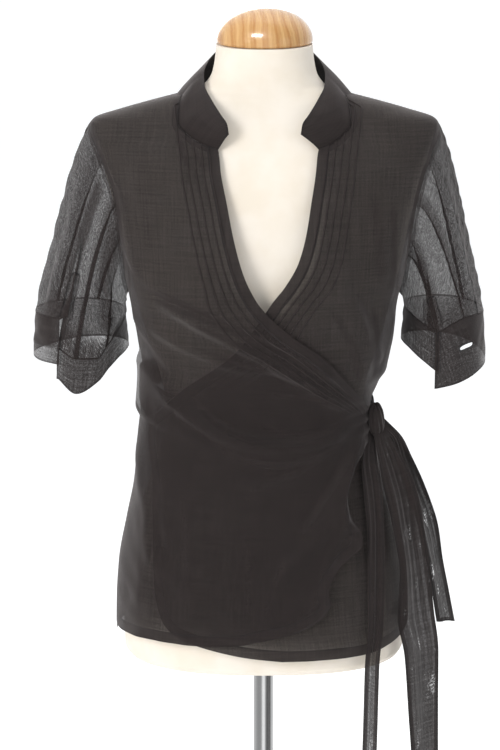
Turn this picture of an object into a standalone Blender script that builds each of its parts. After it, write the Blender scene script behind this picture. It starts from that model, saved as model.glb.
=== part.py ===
"""A short-sleeved wrap blouse worn by a limbless dress form on a round stand.

Metres, +Z up. The origin is the centre of the stand's underside, on the floor.
The front faces -Y, and +X is the wearer's left. Left and right are the wearer's.

Each cut piece of cloth is a thin wall between an outer and an inner grid of points.
The bodice pieces are laid on one surface of oval sections, the sleeves run from the
armholes to the cuffs, and the ties hang from the knot at the left of the waist.
"""

import math

import bmesh
import bpy
import numpy as np

# Driving dimensions
CLOTH = 0.0012  # one thickness of voile, made stout enough to be a solid
BAND_THICKNESS = 0.0020  # collar, cuffs and ties are cloth doubled
SEAM = 0.0004  # the gap between two pieces at a seam
UNDERARM_Z = 1.225  # top of the side seams
SHOULDER_Z = 1.430  # outer end of the shoulder seams
NECK_Z = 1.4575  # back neck seam and the shoulder seams' inner ends
WRAP_Z = 1.2205  # where the two neckline edges cross
OVERLAP_LIFT = 0.0040  # how far the right front stands off where it crosses the left
CORNER = 2.4  # power of the oval sections: 2 is an ellipse, more is squarer
TUCKS = 5  # pintucks beside each neckline edge
TUCK_PITCH = 0.0084
TUCK_HEIGHT = 0.0011
TUCK_START = 0.0105  # from the edge to the first pintuck
TUCKS_FROM = {"front_right": 1.098, "front_left": 1.130}  # height at which they run out
TUCKS_FADE = 0.05
GATHER = 0.62  # how much the tucked strip is drawn together at the knot
GATHER_SPREAD = 0.045
STRIP_LEAN = 1.7  # most that a sloping edge widens the tucked strip, seen from the front
STRIP_SHARE = 0.55  # most of a front's width that it may take
HEM_TOP = 0.960  # above this the hem's slope leaves the rows level

# Sections of the worn bodice: half widths on the wearer's right and left, and depths
BODICE_COLUMNS = ("z", "right", "left", "front", "back")
BODICE = (
    (0.800, 0.1800, 0.1760, 0.1440, 0.1390),
    (0.850, 0.1790, 0.1755, 0.1445, 0.1400),
    (0.900, 0.1755, 0.1720, 0.1425, 0.1370),
    (0.950, 0.1660, 0.1630, 0.1370, 0.1290),
    (1.000, 0.1560, 0.1490, 0.1270, 0.1160),
    (1.050, 0.1515, 0.1340, 0.1160, 0.1020),
    (1.090, 0.1475, 0.1270, 0.1120, 0.0950),
    (1.130, 0.1450, 0.1400, 0.1170, 0.0950),
    (1.170, 0.1500, 0.1500, 0.1250, 0.0990),
    (1.225, 0.1600, 0.1590, 0.1350, 0.1070),
    (1.260, 0.1690, 0.1690, 0.1340, 0.1110),
    (1.310, 0.1790, 0.1840, 0.1215, 0.1120),
    (1.350, 0.1890, 0.1930, 0.1060, 0.1080),
    (1.390, 0.1990, 0.2010, 0.0870, 0.0980),
    (1.415, 0.2045, 0.2045, 0.0730, 0.0870),
    (1.424, 0.2035, 0.2035, 0.0680, 0.0820),
    (1.430, 0.1985, 0.1985, 0.0645, 0.0790),
    (1.440, 0.1685, 0.1685, 0.0595, 0.0755),
    (1.450, 0.1325, 0.1325, 0.0550, 0.0725),
    (1.460, 0.0930, 0.0930, 0.0510, 0.0700),
)

# Sections of the dress form under it
FORM_COLUMNS = ("z", "half", "front", "back")
FORM = (
    (0.7880, 0.1660, 0.1230, 0.1200),
    (0.7960, 0.1700, 0.1290, 0.1270),
    (0.8500, 0.1710, 0.1320, 0.1310),
    (0.9000, 0.1650, 0.1290, 0.1280),
    (0.9500, 0.1530, 0.1200, 0.1170),
    (1.0000, 0.1370, 0.1070, 0.1010),
    (1.0500, 0.1220, 0.0940, 0.0870),
    (1.0900, 0.1180, 0.0900, 0.0820),
    (1.1300, 0.1250, 0.0960, 0.0850),
    (1.1700, 0.1380, 0.1050, 0.0910),
    (1.2250, 0.1520, 0.1140, 0.1000),
    (1.2600, 0.1610, 0.1130, 0.1050),
    (1.3100, 0.1710, 0.1060, 0.1070),
    (1.3500, 0.1820, 0.0960, 0.1030),
    (1.3900, 0.1930, 0.0810, 0.0930),
    (1.4150, 0.1990, 0.0690, 0.0820),
    (1.4230, 0.2000, 0.0645, 0.0780),
    (1.4291, 0.1970, 0.0610, 0.0750),
    (1.4391, 0.1685, 0.0565, 0.0715),
    (1.4491, 0.1325, 0.0525, 0.0685),
    (1.4591, 0.0930, 0.0490, 0.0660),
    (1.4680, 0.0720, 0.0480, 0.0640),
    (1.4830, 0.0610, 0.0480, 0.0640),
    (1.5000, 0.0575, 0.0480, 0.0650),
    (1.5150, 0.0560, 0.0480, 0.0650),
)
FORM_BUST = (0.078, 1.240, 0.048, 0.016)  # x, z, spread and rise of each side
CLOTH_BUST = (0.078, 1.240, 0.052, 0.005)
NECK_TILT = math.radians(6)  # the neck's top slopes down to the front
NECK_TILT_FROM = 1.470

# The right front's edge, from its hem corner up to the collar: x at each height
RIGHT_EDGE_COLUMNS = ("z", "x")
RIGHT_EDGE = (
    (0.8300, -0.0630),
    (0.8330, -0.0280),
    (0.8390, 0.0010),
    (0.8480, 0.0360),
    (0.8570, 0.0560),
    (0.8660, 0.0680),
    (0.8800, 0.0745),
    (0.8940, 0.0710),
    (0.9100, 0.0770),
    (0.9250, 0.0870),
    (0.9450, 0.1060),
    (0.9600, 0.1050),
    (0.9750, 0.0970),
    (0.9960, 0.0940),
    (1.0290, 0.1010),
    (1.0480, 0.1130),
    (1.0560, 0.1170),
    (1.0900, 0.1180),
    (1.1000, 0.1160),
    (1.1347, 0.0930),
    (1.1680, 0.0640),
    (1.1935, 0.0310),
    (1.2205, 0.0010),
    (1.2340, -0.0100),
    (1.2626, -0.0240),
    (1.3010, -0.0350),
    (1.3390, -0.0427),
    (1.3720, -0.0495),
    (1.3990, -0.0530),
    (1.4040, -0.0700),
    (1.4120, -0.0840),
    (1.4280, -0.0990),
    (1.4450, -0.0985),
    (1.4600, -0.0950),
)

# The left front's edge; below the crossing the right front hides it
LEFT_EDGE_COLUMNS = ("z", "x")
LEFT_EDGE = (
    (0.8120, 0.0200),
    (0.8165, -0.0200),
    (0.8220, -0.0500),
    (0.8290, -0.0800),
    (0.8380, -0.1050),
    (0.8550, -0.1200),
    (0.8900, -0.1280),
    (0.9500, -0.1300),
    (1.0200, -0.1310),
    (1.0600, -0.1360),
    (1.0786, -0.1340),
    (1.1000, -0.1180),
    (1.1240, -0.0940),
    (1.1727, -0.0330),
    (1.2205, 0.0010),
    (1.2310, 0.0080),
    (1.2510, 0.0235),
    (1.2770, 0.0380),
    (1.3060, 0.0463),
    (1.3390, 0.0520),
    (1.3720, 0.0575),
    (1.3990, 0.0610),
    (1.4040, 0.0740),
    (1.4120, 0.0860),
    (1.4280, 0.0985),
    (1.4450, 0.0970),
    (1.4600, 0.0930),
)

# Heights of the grid rows, hem to underarm, and those that all bodice pieces share above it
RIGHT_ROWS = (
    0.8300, 0.8335, 0.8390, 0.8480, 0.8570, 0.8670, 0.8800, 0.8940, 0.9100, 0.9280, 0.9460, 0.9660, 0.9890,
    1.0120, 1.0320, 1.0500, 1.0660, 1.0820, 1.0980, 1.1120, 1.1300, 1.1500, 1.1700, 1.1880, 1.2045, 1.2160,
)
LEFT_ROWS = (
    0.8120, 0.8165, 0.8220, 0.8290, 0.8380, 0.8550, 0.8900, 0.9300, 0.9700, 1.0050, 1.0350, 1.0600,
    1.0780, 1.0960, 1.1160, 1.1380, 1.1600, 1.1820, 1.2020, 1.2150,
)
BACK_ROWS = (
    0.8120, 0.8450, 0.8800, 0.9150, 0.9500, 0.9850, 1.0180, 1.0470,
    1.0720, 1.0960, 1.1200, 1.1440, 1.1700, 1.1980,
)
ARM_ROWS = (
    1.2250, 1.2290, 1.2400, 1.2580, 1.2800, 1.3050, 1.3300, 1.3550, 1.3780,
    1.3990, 1.4040, 1.4090, 1.4150, 1.4210, 1.4260, 1.4300,
)
SHOULDER_ROWS = (1.4360, 1.4430, 1.4500, 1.4575)
PLAIN_COLUMNS = 10  # of a front, from its side seam to its tucks
BACK_COLUMNS = 20
ARMHOLE_FRONT = math.radians(25)  # how far each armhole cuts into the front
ARMHOLE_BACK = math.radians(21)
HEM_SIDES = {"front_right": -0.008, "front_left": 0.016}  # a front's hem at its side, from its edge
HEM_BACK = (0.010, 0.004, 0.016)  # the back's hem above its first row: right side, middle, left side
HEM_FROM = math.radians(35)

# Folds: a bowed ridge from one point to another, in the front view or the back's
FOLD_COLUMNS = ("x0", "z0", "x1", "z1", "bow", "height", "width")
RIGHT_FOLDS = (
    (-0.140, 1.236, 0.104, 1.090, 0.012, 0.0050, 0.0075),
    (-0.118, 1.222, 0.080, 1.112, 0.010, 0.0035, 0.0060),
    (-0.148, 1.208, 0.020, 1.150, -0.010, 0.0050, 0.0080),
    (-0.138, 1.150, 0.108, 1.080, -0.050, 0.0065, 0.0090),
    (-0.120, 1.100, 0.108, 1.068, -0.040, 0.0040, 0.0080),
    (0.108, 1.060, 0.000, 0.900, 0.020, 0.0050, 0.0110),
    (0.106, 1.054, 0.056, 0.905, 0.008, 0.0050, 0.0080),
    (0.108, 1.046, 0.088, 0.950, 0.004, 0.0045, 0.0065),
    (-0.150, 1.060, -0.128, 0.900, 0.006, 0.0045, 0.0090),
)
LEFT_FOLDS = (
    (0.062, 1.222, 0.120, 1.130, 0.006, 0.0022, 0.0070),
    (0.085, 1.240, 0.135, 1.140, 0.006, 0.0026, 0.0080),
    (0.150, 1.215, 0.130, 1.120, 0.002, 0.0030, 0.0070),
)
BACK_FOLDS = (
    (0.110, 1.260, 0.100, 1.120, 0.004, 0.0045, 0.0090),
    (0.070, 1.240, 0.070, 1.122, 0.003, 0.0040, 0.0090),
    (0.020, 1.230, 0.025, 1.128, 0.002, 0.0035, 0.0090),
    (-0.040, 1.225, -0.030, 1.134, 0.002, 0.0035, 0.0090),
    (-0.095, 1.235, -0.085, 1.142, 0.002, 0.0040, 0.0090),
    (0.105, 1.060, 0.125, 0.890, 0.004, 0.0050, 0.0110),
    (0.065, 1.064, 0.075, 0.880, 0.003, 0.0050, 0.0110),
    (0.020, 1.068, 0.022, 0.890, 0.002, 0.0045, 0.0110),
    (-0.035, 1.074, -0.040, 0.900, 0.002, 0.0045, 0.0110),
    (-0.090, 1.080, -0.100, 0.920, -0.003, 0.0040, 0.0110),
)

# The opening in the right side seam where the left front's tie comes out
TIE_SLIT_Z = 1.1185
TIE_SLIT_SLOPE = 0.42  # it falls toward the front, along the tie inside
TIE_SLIT_HALF = 0.0250
TIE_SLIT_LIFT = 0.0062
TIE_SLIT_RAMP = 0.016
LIFT_FROM = -0.136  # x from which the right front clears the left one, below the waist
LIFT_BELOW = 1.060

# The collar's top edge, for the wearer's right half, front end first
COLLAR_COLUMNS = ("t", "x", "y", "z")
COLLAR_TOP = (
    (0.00, -0.0405, -0.0860, 1.4165),
    (0.06, -0.0425, -0.0850, 1.4275),
    (0.16, -0.0505, -0.0770, 1.4395),
    (0.28, -0.0605, -0.0590, 1.4545),
    (0.40, -0.0690, -0.0360, 1.4700),
    (0.52, -0.0705, -0.0100, 1.4830),
    (0.64, -0.0660, 0.0180, 1.4960),
    (0.78, -0.0535, 0.0500, 1.5080),
    (0.90, -0.0300, 0.0720, 1.5125),
    (1.00, 0.0000, 0.0790, 1.5140),
)
COLLAR_FRONT_Z = 1.399  # where the neck seam leaves the wrap edge
COLLAR_SHARE = 0.50  # part of the half collar that is sewn to the front
COLLAR_BOW = 0.0025
COLLAR_SEAM = 0.0007  # along its slope, for a gap of about SEAM

# Cuffs: the heights of their edges round the arm. Angle 0 is the outer side, 90 the front.
CUFF_COLUMNS = ("angle", "top", "bottom")
RIGHT_CUFF = (
    (66, 1.1660, 1.1290),
    (88, 1.1545, 1.1120),
    (115, 1.1540, 1.1260),
    (130, 1.1680, 1.1410),
    (150, 1.1850, 1.1530),
    (180, 1.2000, 1.1600),
    (225, 1.2070, 1.1620),
    (270, 1.2090, 1.1600),
    (315, 1.2070, 1.1540),
    (360, 1.2050, 1.1510),
    (395, 1.2030, 1.1480),
    (426, 1.2010, 1.1465),
)
LEFT_CUFF = (
    (104, 1.1840, 1.1380),
    (126, 1.1940, 1.1510),
    (155, 1.2050, 1.1640),
    (180, 1.2100, 1.1680),
    (225, 1.2130, 1.1690),
    (270, 1.2130, 1.1660),
    (315, 1.2100, 1.1580),
    (360, 1.2050, 1.1450),
    (396, 1.2040, 1.1370),
    (420, 1.2030, 1.1290),
    (440, 1.1970, 1.1230),
    (464, 1.1850, 1.1180),
)
RIGHT_ARM = {"centre": (0.2185, -0.0010), "radii": (0.0545, 0.0570), "cuff": RIGHT_CUFF}
LEFT_ARM = {"centre": (0.2140, -0.0010), "radii": (0.0480, 0.0560), "cuff": LEFT_CUFF}
CUFF_OPENING = 1.4  # degrees to each side between a cuff's two ends
CUFF_FLARE = 0.0035
CUFF_STEPS = (0.0, 0.44, 0.505, 0.75, 1.0)
BUTTONHOLE_ANGLES = (411.5, 422.0, 432.5)  # in the left cuff, 18 mm long
BUTTONHOLE_STEP = 1
SLEEVE_RINGS = (0.0, 0.07, 0.16, 0.27, 0.39, 0.51, 0.63, 0.74, 0.84, 0.92, 1.0)
SLEEVE_COLUMNS = 25
SLEEVE_SEAM = 0.0009  # both seams' points don't match across, so these gaps are wider
CUFF_SEAM = 0.0010
SLEEVE_LEAN = 0.30  # outward for each metre down, where a sleeve meets its cuff
SLEEVE_SEAM_TURN = (20.0, 88.0)  # how far the sleeve turns off the bodice, top and underarm
OPENING_FROM_RING = 7  # a sleeve's slit runs from here to its cuff
SLEEVE_FOLD_COLUMNS = ("angle", "height", "width", "start")
SLEEVE_FOLDS = (
    (18, 0.0050, 13, 0.10),
    (52, 0.0055, 13, 0.22),
    (92, 0.0050, 14, 0.30),
    (130, 0.0040, 13, 0.40),
    (238, 0.0040, 15, 0.30),
    (282, 0.0050, 15, 0.22),
    (326, 0.0050, 14, 0.15),
)

# The left front's tie, round the back of the waist to the knot: middle height and width
BAND_COLUMNS = ("turn", "middle", "width")
BAND = (
    (0.00, 1.1000, 0.0330),
    (0.09, 1.1100, 0.0345),
    (0.18, 1.1180, 0.0350),
    (0.35, 1.1165, 0.0350),
    (0.60, 1.1020, 0.0340),
    (0.80, 1.0880, 0.0310),
    (0.92, 1.0820, 0.0260),
    (1.00, 1.0780, 0.0200),
)
BAND_OVER = 0.0016  # clear of the back that it lies on
BAND_OUT = (0.09, 0.150)  # where along it the band comes out from under the right front
BAND_RIPPLE = 0.0006
KNOT_Z = 1.0770
KNOT_STEP = 0.0079  # round the waist, from the right front's edge to the knot's middle
KNOT_RADII = (0.0095, 0.0115, 0.0190)  # outward, along the waist, up
BAND_STOP = 0.0078  # from the knot's middle to the end of the band

# Ties: both edges in plan at each height. They lie off the hip and hang free below it.
TIE_COLUMNS = ("z", "x0", "y0", "x1", "y1")
TIE_NARROW = (
    (1.0350, 0.1190, -0.0790, 0.1320, -0.0720),
    (1.0050, 0.1200, -0.0935, 0.1370, -0.0850),
    (0.9600, 0.1190, -0.1095, 0.1390, -0.1000),
    (0.9000, 0.1200, -0.1205, 0.1400, -0.1130),
    (0.8500, 0.1210, -0.1250, 0.1390, -0.1190),
    (0.8000, 0.1175, -0.1270, 0.1345, -0.1240),
    (0.7300, 0.1160, -0.1275, 0.1330, -0.1265),
    (0.6600, 0.1150, -0.1270, 0.1320, -0.1290),
    (0.5900, 0.1165, -0.1270, 0.1310, -0.1300),
)
TIE_WIDE = (
    (1.0380, 0.1450, -0.0700, 0.1610, -0.0600),
    (1.0150, 0.1480, -0.0760, 0.1720, -0.0620),
    (0.9850, 0.1530, -0.0810, 0.1815, -0.0630),
    (0.9500, 0.1570, -0.0860, 0.1870, -0.0640),
    (0.9000, 0.1580, -0.0890, 0.1940, -0.0660),
    (0.8500, 0.1575, -0.0890, 0.2010, -0.0670),
    (0.8000, 0.1670, -0.0890, 0.2080, -0.0680),
    (0.7300, 0.1730, -0.0880, 0.2090, -0.0700),
    (0.6600, 0.1780, -0.0870, 0.2100, -0.0720),
    (0.5600, 0.1810, -0.0870, 0.2130, -0.0730),
)
TIE_SHORT = (
    (1.0560, 0.1500, -0.0520, 0.1640, -0.0460),
    (1.0350, 0.1550, -0.0500, 0.1740, -0.0440),
    (1.0000, 0.1660, -0.0490, 0.1900, -0.0430),
    (0.9500, 0.1830, -0.0480, 0.2070, -0.0430),
    (0.9100, 0.1930, -0.0480, 0.2130, -0.0440),
    (0.8700, 0.2010, -0.0490, 0.2215, -0.0450),
    (0.8300, 0.2080, -0.0500, 0.2300, -0.0460),
)
TIE_START_COLUMNS = ("x", "y", "z", "width", "gap")  # way from the knot's middle, width and gap there
TIE_STARTS = {
    "tie_narrow": (-0.30, -0.45, -1.00, 0.0090, 0.0011),
    "tie_wide": (0.45, -0.30, -0.75, 0.0110, 0.0007),
    "tie_short": (0.95, 0.35, -0.35, 0.0100, 0.0006),
}
TIE_PLEAT = {  # depth of the two and a half waves across each
    "tie_narrow": 0.0012,
    "tie_wide": 0.0026,
    "tie_short": 0.0020,
}

# Stand of the dress form
NECK_CAP = (0.0565, 0.0410, 0.0035)  # radius, height and rounding of its lower edge
POLE_RADIUS = 0.0125
BASE_RADIUS = 0.175
BASE_HEIGHT = 0.012
BASE_BOSS = (0.026, 0.022)  # radius and height above the plate
TOUCH = 0.0003  # between two hard pieces that touch

COLOURS = {
    "cloth": ((0.020, 0.018, 0.018, 1.0), 0.80, 0.0),
    "jersey": ((0.83, 0.76, 0.66, 1.0), 0.85, 0.0),
    "beech": ((0.68, 0.40, 0.17, 1.0), 0.30, 0.0),
    "chrome": ((0.62, 0.62, 0.62, 1.0), 0.12, 1.0),
}


def curve(rows, columns, key, name):
    """A smooth function through a table: cubic between rows, and level at each turning point."""
    x = np.array([row[columns.index(key)] for row in rows], float)
    y = np.array([row[columns.index(name)] for row in rows], float)
    step = np.diff(x)
    slope = np.diff(y) / step
    tangent = np.zeros_like(y)
    tangent[0], tangent[-1] = slope[0], slope[-1]
    same = slope[:-1] * slope[1:] > 0
    both = np.where(same, slope[:-1] + slope[1:], 1.0)
    tangent[1:-1] = np.where(same, 2 * slope[:-1] * slope[1:] / both, 0.0)

    def value(at):
        at = np.clip(np.asarray(at, float), x[0], x[-1])
        i = np.clip(np.searchsorted(x, at, side="right") - 1, 0, len(x) - 2)
        t = (at - x[i]) / step[i]
        level = y[i] * (1 + 2 * t) * (1 - t) ** 2 + y[i + 1] * t * t * (3 - 2 * t)
        return level + step[i] * t * (1 - t) * ((1 - t) * tangent[i] - t * tangent[i + 1])

    return value


def curves(rows, columns, key):
    """One smooth function for each column of a table but its key."""
    return {name: curve(rows, columns, key, name) for name in columns if name != key}


BODICE_CURVES = curves(BODICE, BODICE_COLUMNS, "z")
FORM_CURVES = curves(FORM, FORM_COLUMNS, "z")
RIGHT_EDGE_X = curve(RIGHT_EDGE, RIGHT_EDGE_COLUMNS, "z", "x")
LEFT_EDGE_X = curve(LEFT_EDGE, LEFT_EDGE_COLUMNS, "z", "x")


def named(rows, columns):
    """A table's rows, each as a dictionary by its columns' names."""
    return [dict(zip(columns, row)) for row in rows]


def smooth_step(x, low, high):
    t = np.clip((np.asarray(x, float) - low) / (high - low), 0, 1)
    return t * t * (3 - 2 * t)


def unit(vectors):
    return vectors / np.linalg.norm(vectors, axis=-1, keepdims=True)


def oval(phi, right, left, front, back):
    """A point of an oval section: phi 0 is the front, and +90 degrees the wearer's left."""
    s, c = np.sin(phi), np.cos(phi)
    power = 2 / CORNER
    x = np.where(s > 0, left, right) * np.sign(s) * np.abs(s) ** power
    y = -np.where(c > 0, front, back) * np.sign(c) * np.abs(c) ** power
    return x, y


def bust_rise(x, z, bust):
    at_x, at_z, spread, rise = bust
    return rise * np.exp(-(((np.abs(x) - at_x) / spread) ** 2) - ((z - at_z) / spread) ** 2)


def bodice_surface(phi, z):
    """The surface that the innermost cloth of the bodice lies on."""
    phi, z = np.broadcast_arrays(np.asarray(phi, float), np.asarray(z, float))
    half = {name: value(z) for name, value in BODICE_CURVES.items()}
    x, y = oval(phi, half["right"], half["left"], half["front"], half["back"])
    y = y - bust_rise(x, z, CLOTH_BUST) * np.clip(np.cos(phi), 0, 1)
    return np.stack([x, y, z], axis=-1)


def form_surface(phi, z):
    """The dress form's skin, whose neck leans until its top slopes by NECK_TILT."""
    phi, z = np.broadcast_arrays(np.asarray(phi, float), np.asarray(z, float))
    half = {name: value(z) for name, value in FORM_CURVES.items()}
    x, y = oval(phi, half["half"], half["half"], half["front"], half["back"])
    y = y - bust_rise(x, z, FORM_BUST) * np.clip(np.cos(phi), 0, 1)
    tilt = smooth_step(z, NECK_TILT_FROM, FORM[-1][0]) * math.tan(NECK_TILT)
    return np.stack([x, y, z + y * tilt], axis=-1)


def normals_of(surface, first, second):
    """Unit normals of a two-parameter surface, from small steps both ways."""
    turn, rise = 2e-3, 2e-4
    along = surface(first + turn, second) - surface(first - turn, second)
    up = surface(first, second + rise) - surface(first, second - rise)
    return unit(np.cross(along, up))


def phi_at(x, z):
    """The angle in the front half where the bodice section at z has this x."""
    x = np.asarray(x, float)
    half = np.where(x > 0, BODICE_CURVES["left"](z), BODICE_CURVES["right"](z))
    return np.sign(x) * np.arcsin(np.clip(np.abs(x) / half, 0, 1) ** (CORNER / 2))


def armhole_inset(z, most):
    """How far the armhole stands in from the side, as an angle: most halfway up, none at its ends."""
    share = np.clip((z - UNDERARM_Z) / (SHOULDER_Z - UNDERARM_Z), 0, 1)
    return most * np.sin(math.pi * share) ** 0.62


def seam_angle(z, depth_of):
    """The angle that half a seam's gap takes at the side of a section."""
    return (SEAM / 2 / depth_of(z)) ** (CORNER / 2)


def fold_field(x, z, folds):
    """Heights of soft ridges along bowed lines, faded at both ends. The tallest one counts."""
    points = np.stack([x, z], axis=-1)[..., None, :]
    t = np.linspace(0, 1, 33)
    heights = np.zeros_like(x)
    for fold in named(folds, FOLD_COLUMNS):
        start, end = np.array([fold["x0"], fold["z0"]]), np.array([fold["x1"], fold["z1"]])
        along = unit(end - start)
        middle = (start + end) / 2 + 2 * fold["bow"] * np.array([-along[1], along[0]])
        line = np.outer((1 - t) ** 2, start) + np.outer(2 * t * (1 - t), middle) + np.outer(t**2, end)
        gaps = np.linalg.norm(points - line, axis=-1)
        nearest = t[np.argmin(gaps, axis=-1)]
        fade = smooth_step(nearest, 0.0, 0.22) * smooth_step(-nearest, -1.0, -0.80)
        across = np.exp(-((gaps.min(axis=-1) / fold["width"]) ** 2))
        heights = np.maximum(heights, fold["height"] * fade * across)
    return heights


def solid(name, points, faces):
    """A mesh object from points and faces, with loose points gone and its faces pointing out."""
    mesh = bpy.data.meshes.new(name)
    mesh.from_pydata([tuple(p) for p in points], [], [tuple(int(v) for v in f) for f in faces])
    shape = bmesh.new()
    shape.from_mesh(mesh)
    bmesh.ops.delete(shape, geom=[v for v in shape.verts if not v.link_faces], context="VERTS")
    bmesh.ops.recalc_face_normals(shape, faces=shape.faces)
    shape.to_mesh(mesh)
    shape.free()
    mesh.shade_smooth()
    mesh.set_sharp_from_angle(angle=math.radians(50))
    made = bpy.data.objects.new(name, mesh)
    bpy.context.scene.collection.objects.link(made)
    return made


def wall(name, outer, inner, closed=False, holes=()):
    """A closed wall between two grids of points, with the cells named in holes left out."""
    rows, columns = outer.shape[:2]
    count = rows * columns
    index = np.arange(count).reshape(rows, columns)
    faces, rim = [], set()
    for i in range(rows - 1):
        for j in range(columns if closed else columns - 1):
            if (i, j) in holes:
                continue
            k = (j + 1) % columns
            a, b, c, d = index[i, j], index[i, k], index[i + 1, k], index[i + 1, j]
            faces += [(a, b, c), (a, c, d)]
            faces += [(count + c, count + b, count + a), (count + d, count + c, count + a)]
            for start, end in ((a, b), (b, c), (c, d), (d, a)):
                if (end, start) in rim:
                    rim.remove((end, start))
                else:
                    rim.add((start, end))
    for a, b in sorted(rim):
        faces += [(b, a, count + a), (b, count + a, count + b)]
    return solid(name, np.concatenate([outer.reshape(-1, 3), inner.reshape(-1, 3)]), faces)


def lathe(name, profile, sides):
    """A solid turned about Z from its profile of (radius, z), whose two ends are closed with discs."""
    angle = np.arange(sides) * 2 * math.pi / sides
    radius, z = np.array(profile, float).T
    ring = np.stack([np.cos(angle), np.sin(angle)], axis=-1)
    points = np.empty((len(profile), sides, 3))
    points[..., :2] = radius[:, None, None] * ring[None]
    points[..., 2] = z[:, None]
    return tube(name, points)


def tube(name, points):
    """A closed solid through rings of points, capped flat at both ends."""
    rows, sides = points.shape[:2]
    index = np.arange(rows * sides).reshape(rows, sides)
    faces = []
    for i in range(rows - 1):
        for j in range(sides):
            k = (j + 1) % sides
            faces.append((index[i, j], index[i, k], index[i + 1, k], index[i + 1, j]))
    faces.append(tuple(index[0, ::-1]))
    faces.append(tuple(index[-1]))
    return solid(name, points.reshape(-1, 3), faces)


def laid(phi, z, lift, thickness=CLOTH):
    """Outer and inner grids of a piece laid on the bodice surface, raised by lift."""
    base = bodice_surface(phi, z)
    normal = normals_of(bodice_surface, phi, z)
    lift = np.asarray(lift, float)[..., None]
    return base + normal * (lift + thickness), base + normal * lift, normal


def front_columns(edge_x, heights, side):
    """Angles of a front's grid and its tuck crests, from the side seam to the wrap edge.

    The columns beside the edge keep their distance from it, so that the tucks follow it;
    they draw together at the knot, where the cloth is gathered.
    """
    crest = TUCK_START + TUCK_PITCH * np.arange(TUCKS)
    trough = crest + TUCK_PITCH / 2
    distance = np.concatenate([[0.0], np.stack([crest, trough], axis=1).ravel()])
    raised = np.concatenate([[0], np.tile([1, 0], TUCKS)])
    edge = edge_x(heights)
    lean = np.minimum(np.hypot(1, np.gradient(edge, heights)), STRIP_LEAN)
    gather = 1 - GATHER * np.exp(-(((heights - KNOT_Z) / GATHER_SPREAD) ** 2))
    inset = armhole_inset(heights, ARMHOLE_FRONT)
    side_phi = math.pi / 2 - inset - seam_angle(heights, BODICE_CURVES["front"])
    room = np.abs(bodice_surface(side * side_phi, heights)[:, 0] - edge)
    reach = np.minimum(lean * gather, STRIP_SHARE * room / distance[-1])
    tucked = phi_at(edge[:, None] + side * reach[:, None] * distance, heights[:, None])[:, ::-1]
    share = np.linspace(0, 1, PLAIN_COLUMNS, endpoint=False)
    start = side * side_phi[:, None]
    plain = start + (tucked[:, :1] - start) * share
    crests = np.concatenate([np.zeros(PLAIN_COLUMNS), raised[::-1]])
    return np.concatenate([plain, tucked], axis=1), crests


def front(name, edge_x, rows, side, folds, lift_of):
    """A front: one boundary is its side seam and armhole, the other its wrap edge and neck seam."""
    heights = np.array(rows + ARM_ROWS + SHOULDER_ROWS)
    phi, crests = front_columns(edge_x, heights, side)
    z = np.repeat(heights[:, None], phi.shape[1], axis=1)
    x = bodice_surface(phi, z)[..., 0]
    to_side = smooth_step(side * phi, HEM_FROM, math.pi / 2)
    z = z + HEM_SIDES[name] * to_side * smooth_step(-z, -HEM_TOP, -heights[0])
    calm = smooth_step(-np.abs(phi), math.radians(-88), math.radians(-74))
    calm = calm * smooth_step(np.abs(x - edge_x(heights)[:, None]), 0.0, 0.006)
    lift = lift_of(x, z, phi) + fold_field(x, z, folds) * calm
    outer, inner, normal = laid(phi, z, lift)
    tucks = smooth_step(heights, TUCKS_FROM[name], TUCKS_FROM[name] + TUCKS_FADE)
    tucks = tucks * smooth_step(-heights, -SHOULDER_Z, -COLLAR_FRONT_Z)
    outer = outer + normal * (TUCK_HEIGHT * crests[None, :] * tucks[:, None])[..., None]
    return wall(name, outer, inner)


def overlap_lift(x, z, phi):
    """The right front rises off the surface where it crosses the left one, and at the tie's opening."""
    reference = np.where(z < LIFT_BELOW, LIFT_FROM, LEFT_EDGE_X(z))
    near = smooth_step(x - reference, -0.030, -0.006)
    near = near * smooth_step(-z, -(WRAP_Z + 0.075), -(WRAP_Z + 0.010))
    near = np.where(x < 0, near * smooth_step(-np.abs(phi), math.radians(-87), math.radians(-60)), near)
    side_x = -BODICE_CURVES["right"](z)
    off = np.abs(z - TIE_SLIT_Z + TIE_SLIT_SLOPE * (x - side_x)) - TIE_SLIT_HALF
    lip = smooth_step(-off, -TIE_SLIT_RAMP, 0.0) * smooth_step(-x, 0.085, 0.110)
    return np.maximum(OVERLAP_LIFT * near, TIE_SLIT_LIFT * lip)


def back():
    """The back: armholes and side seams at its sides, and the neck seam along its top."""
    heights = np.array(BACK_ROWS + ARM_ROWS + SHOULDER_ROWS)
    reach = math.pi / 2 - armhole_inset(heights, ARMHOLE_BACK) - seam_angle(heights, BODICE_CURVES["back"])
    share = np.linspace(-1, 1, BACK_COLUMNS)
    phi = math.pi + reach[:, None] * share
    z = np.repeat(heights[:, None], BACK_COLUMNS, axis=1)
    right, middle, left = HEM_BACK
    rise = middle + np.where(share > 0, right - middle, left - middle) * smooth_step(np.abs(share), 0.4, 1.0)
    z = z + rise * smooth_step(-z, -HEM_TOP, -heights[0])
    x = bodice_surface(phi, z)[..., 0]
    lift = fold_field(x, z, BACK_FOLDS) * smooth_step(-np.abs(share), -1.0, -0.86)
    outer, inner, _ = laid(phi, z, lift)
    return wall("back", outer, inner)


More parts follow.
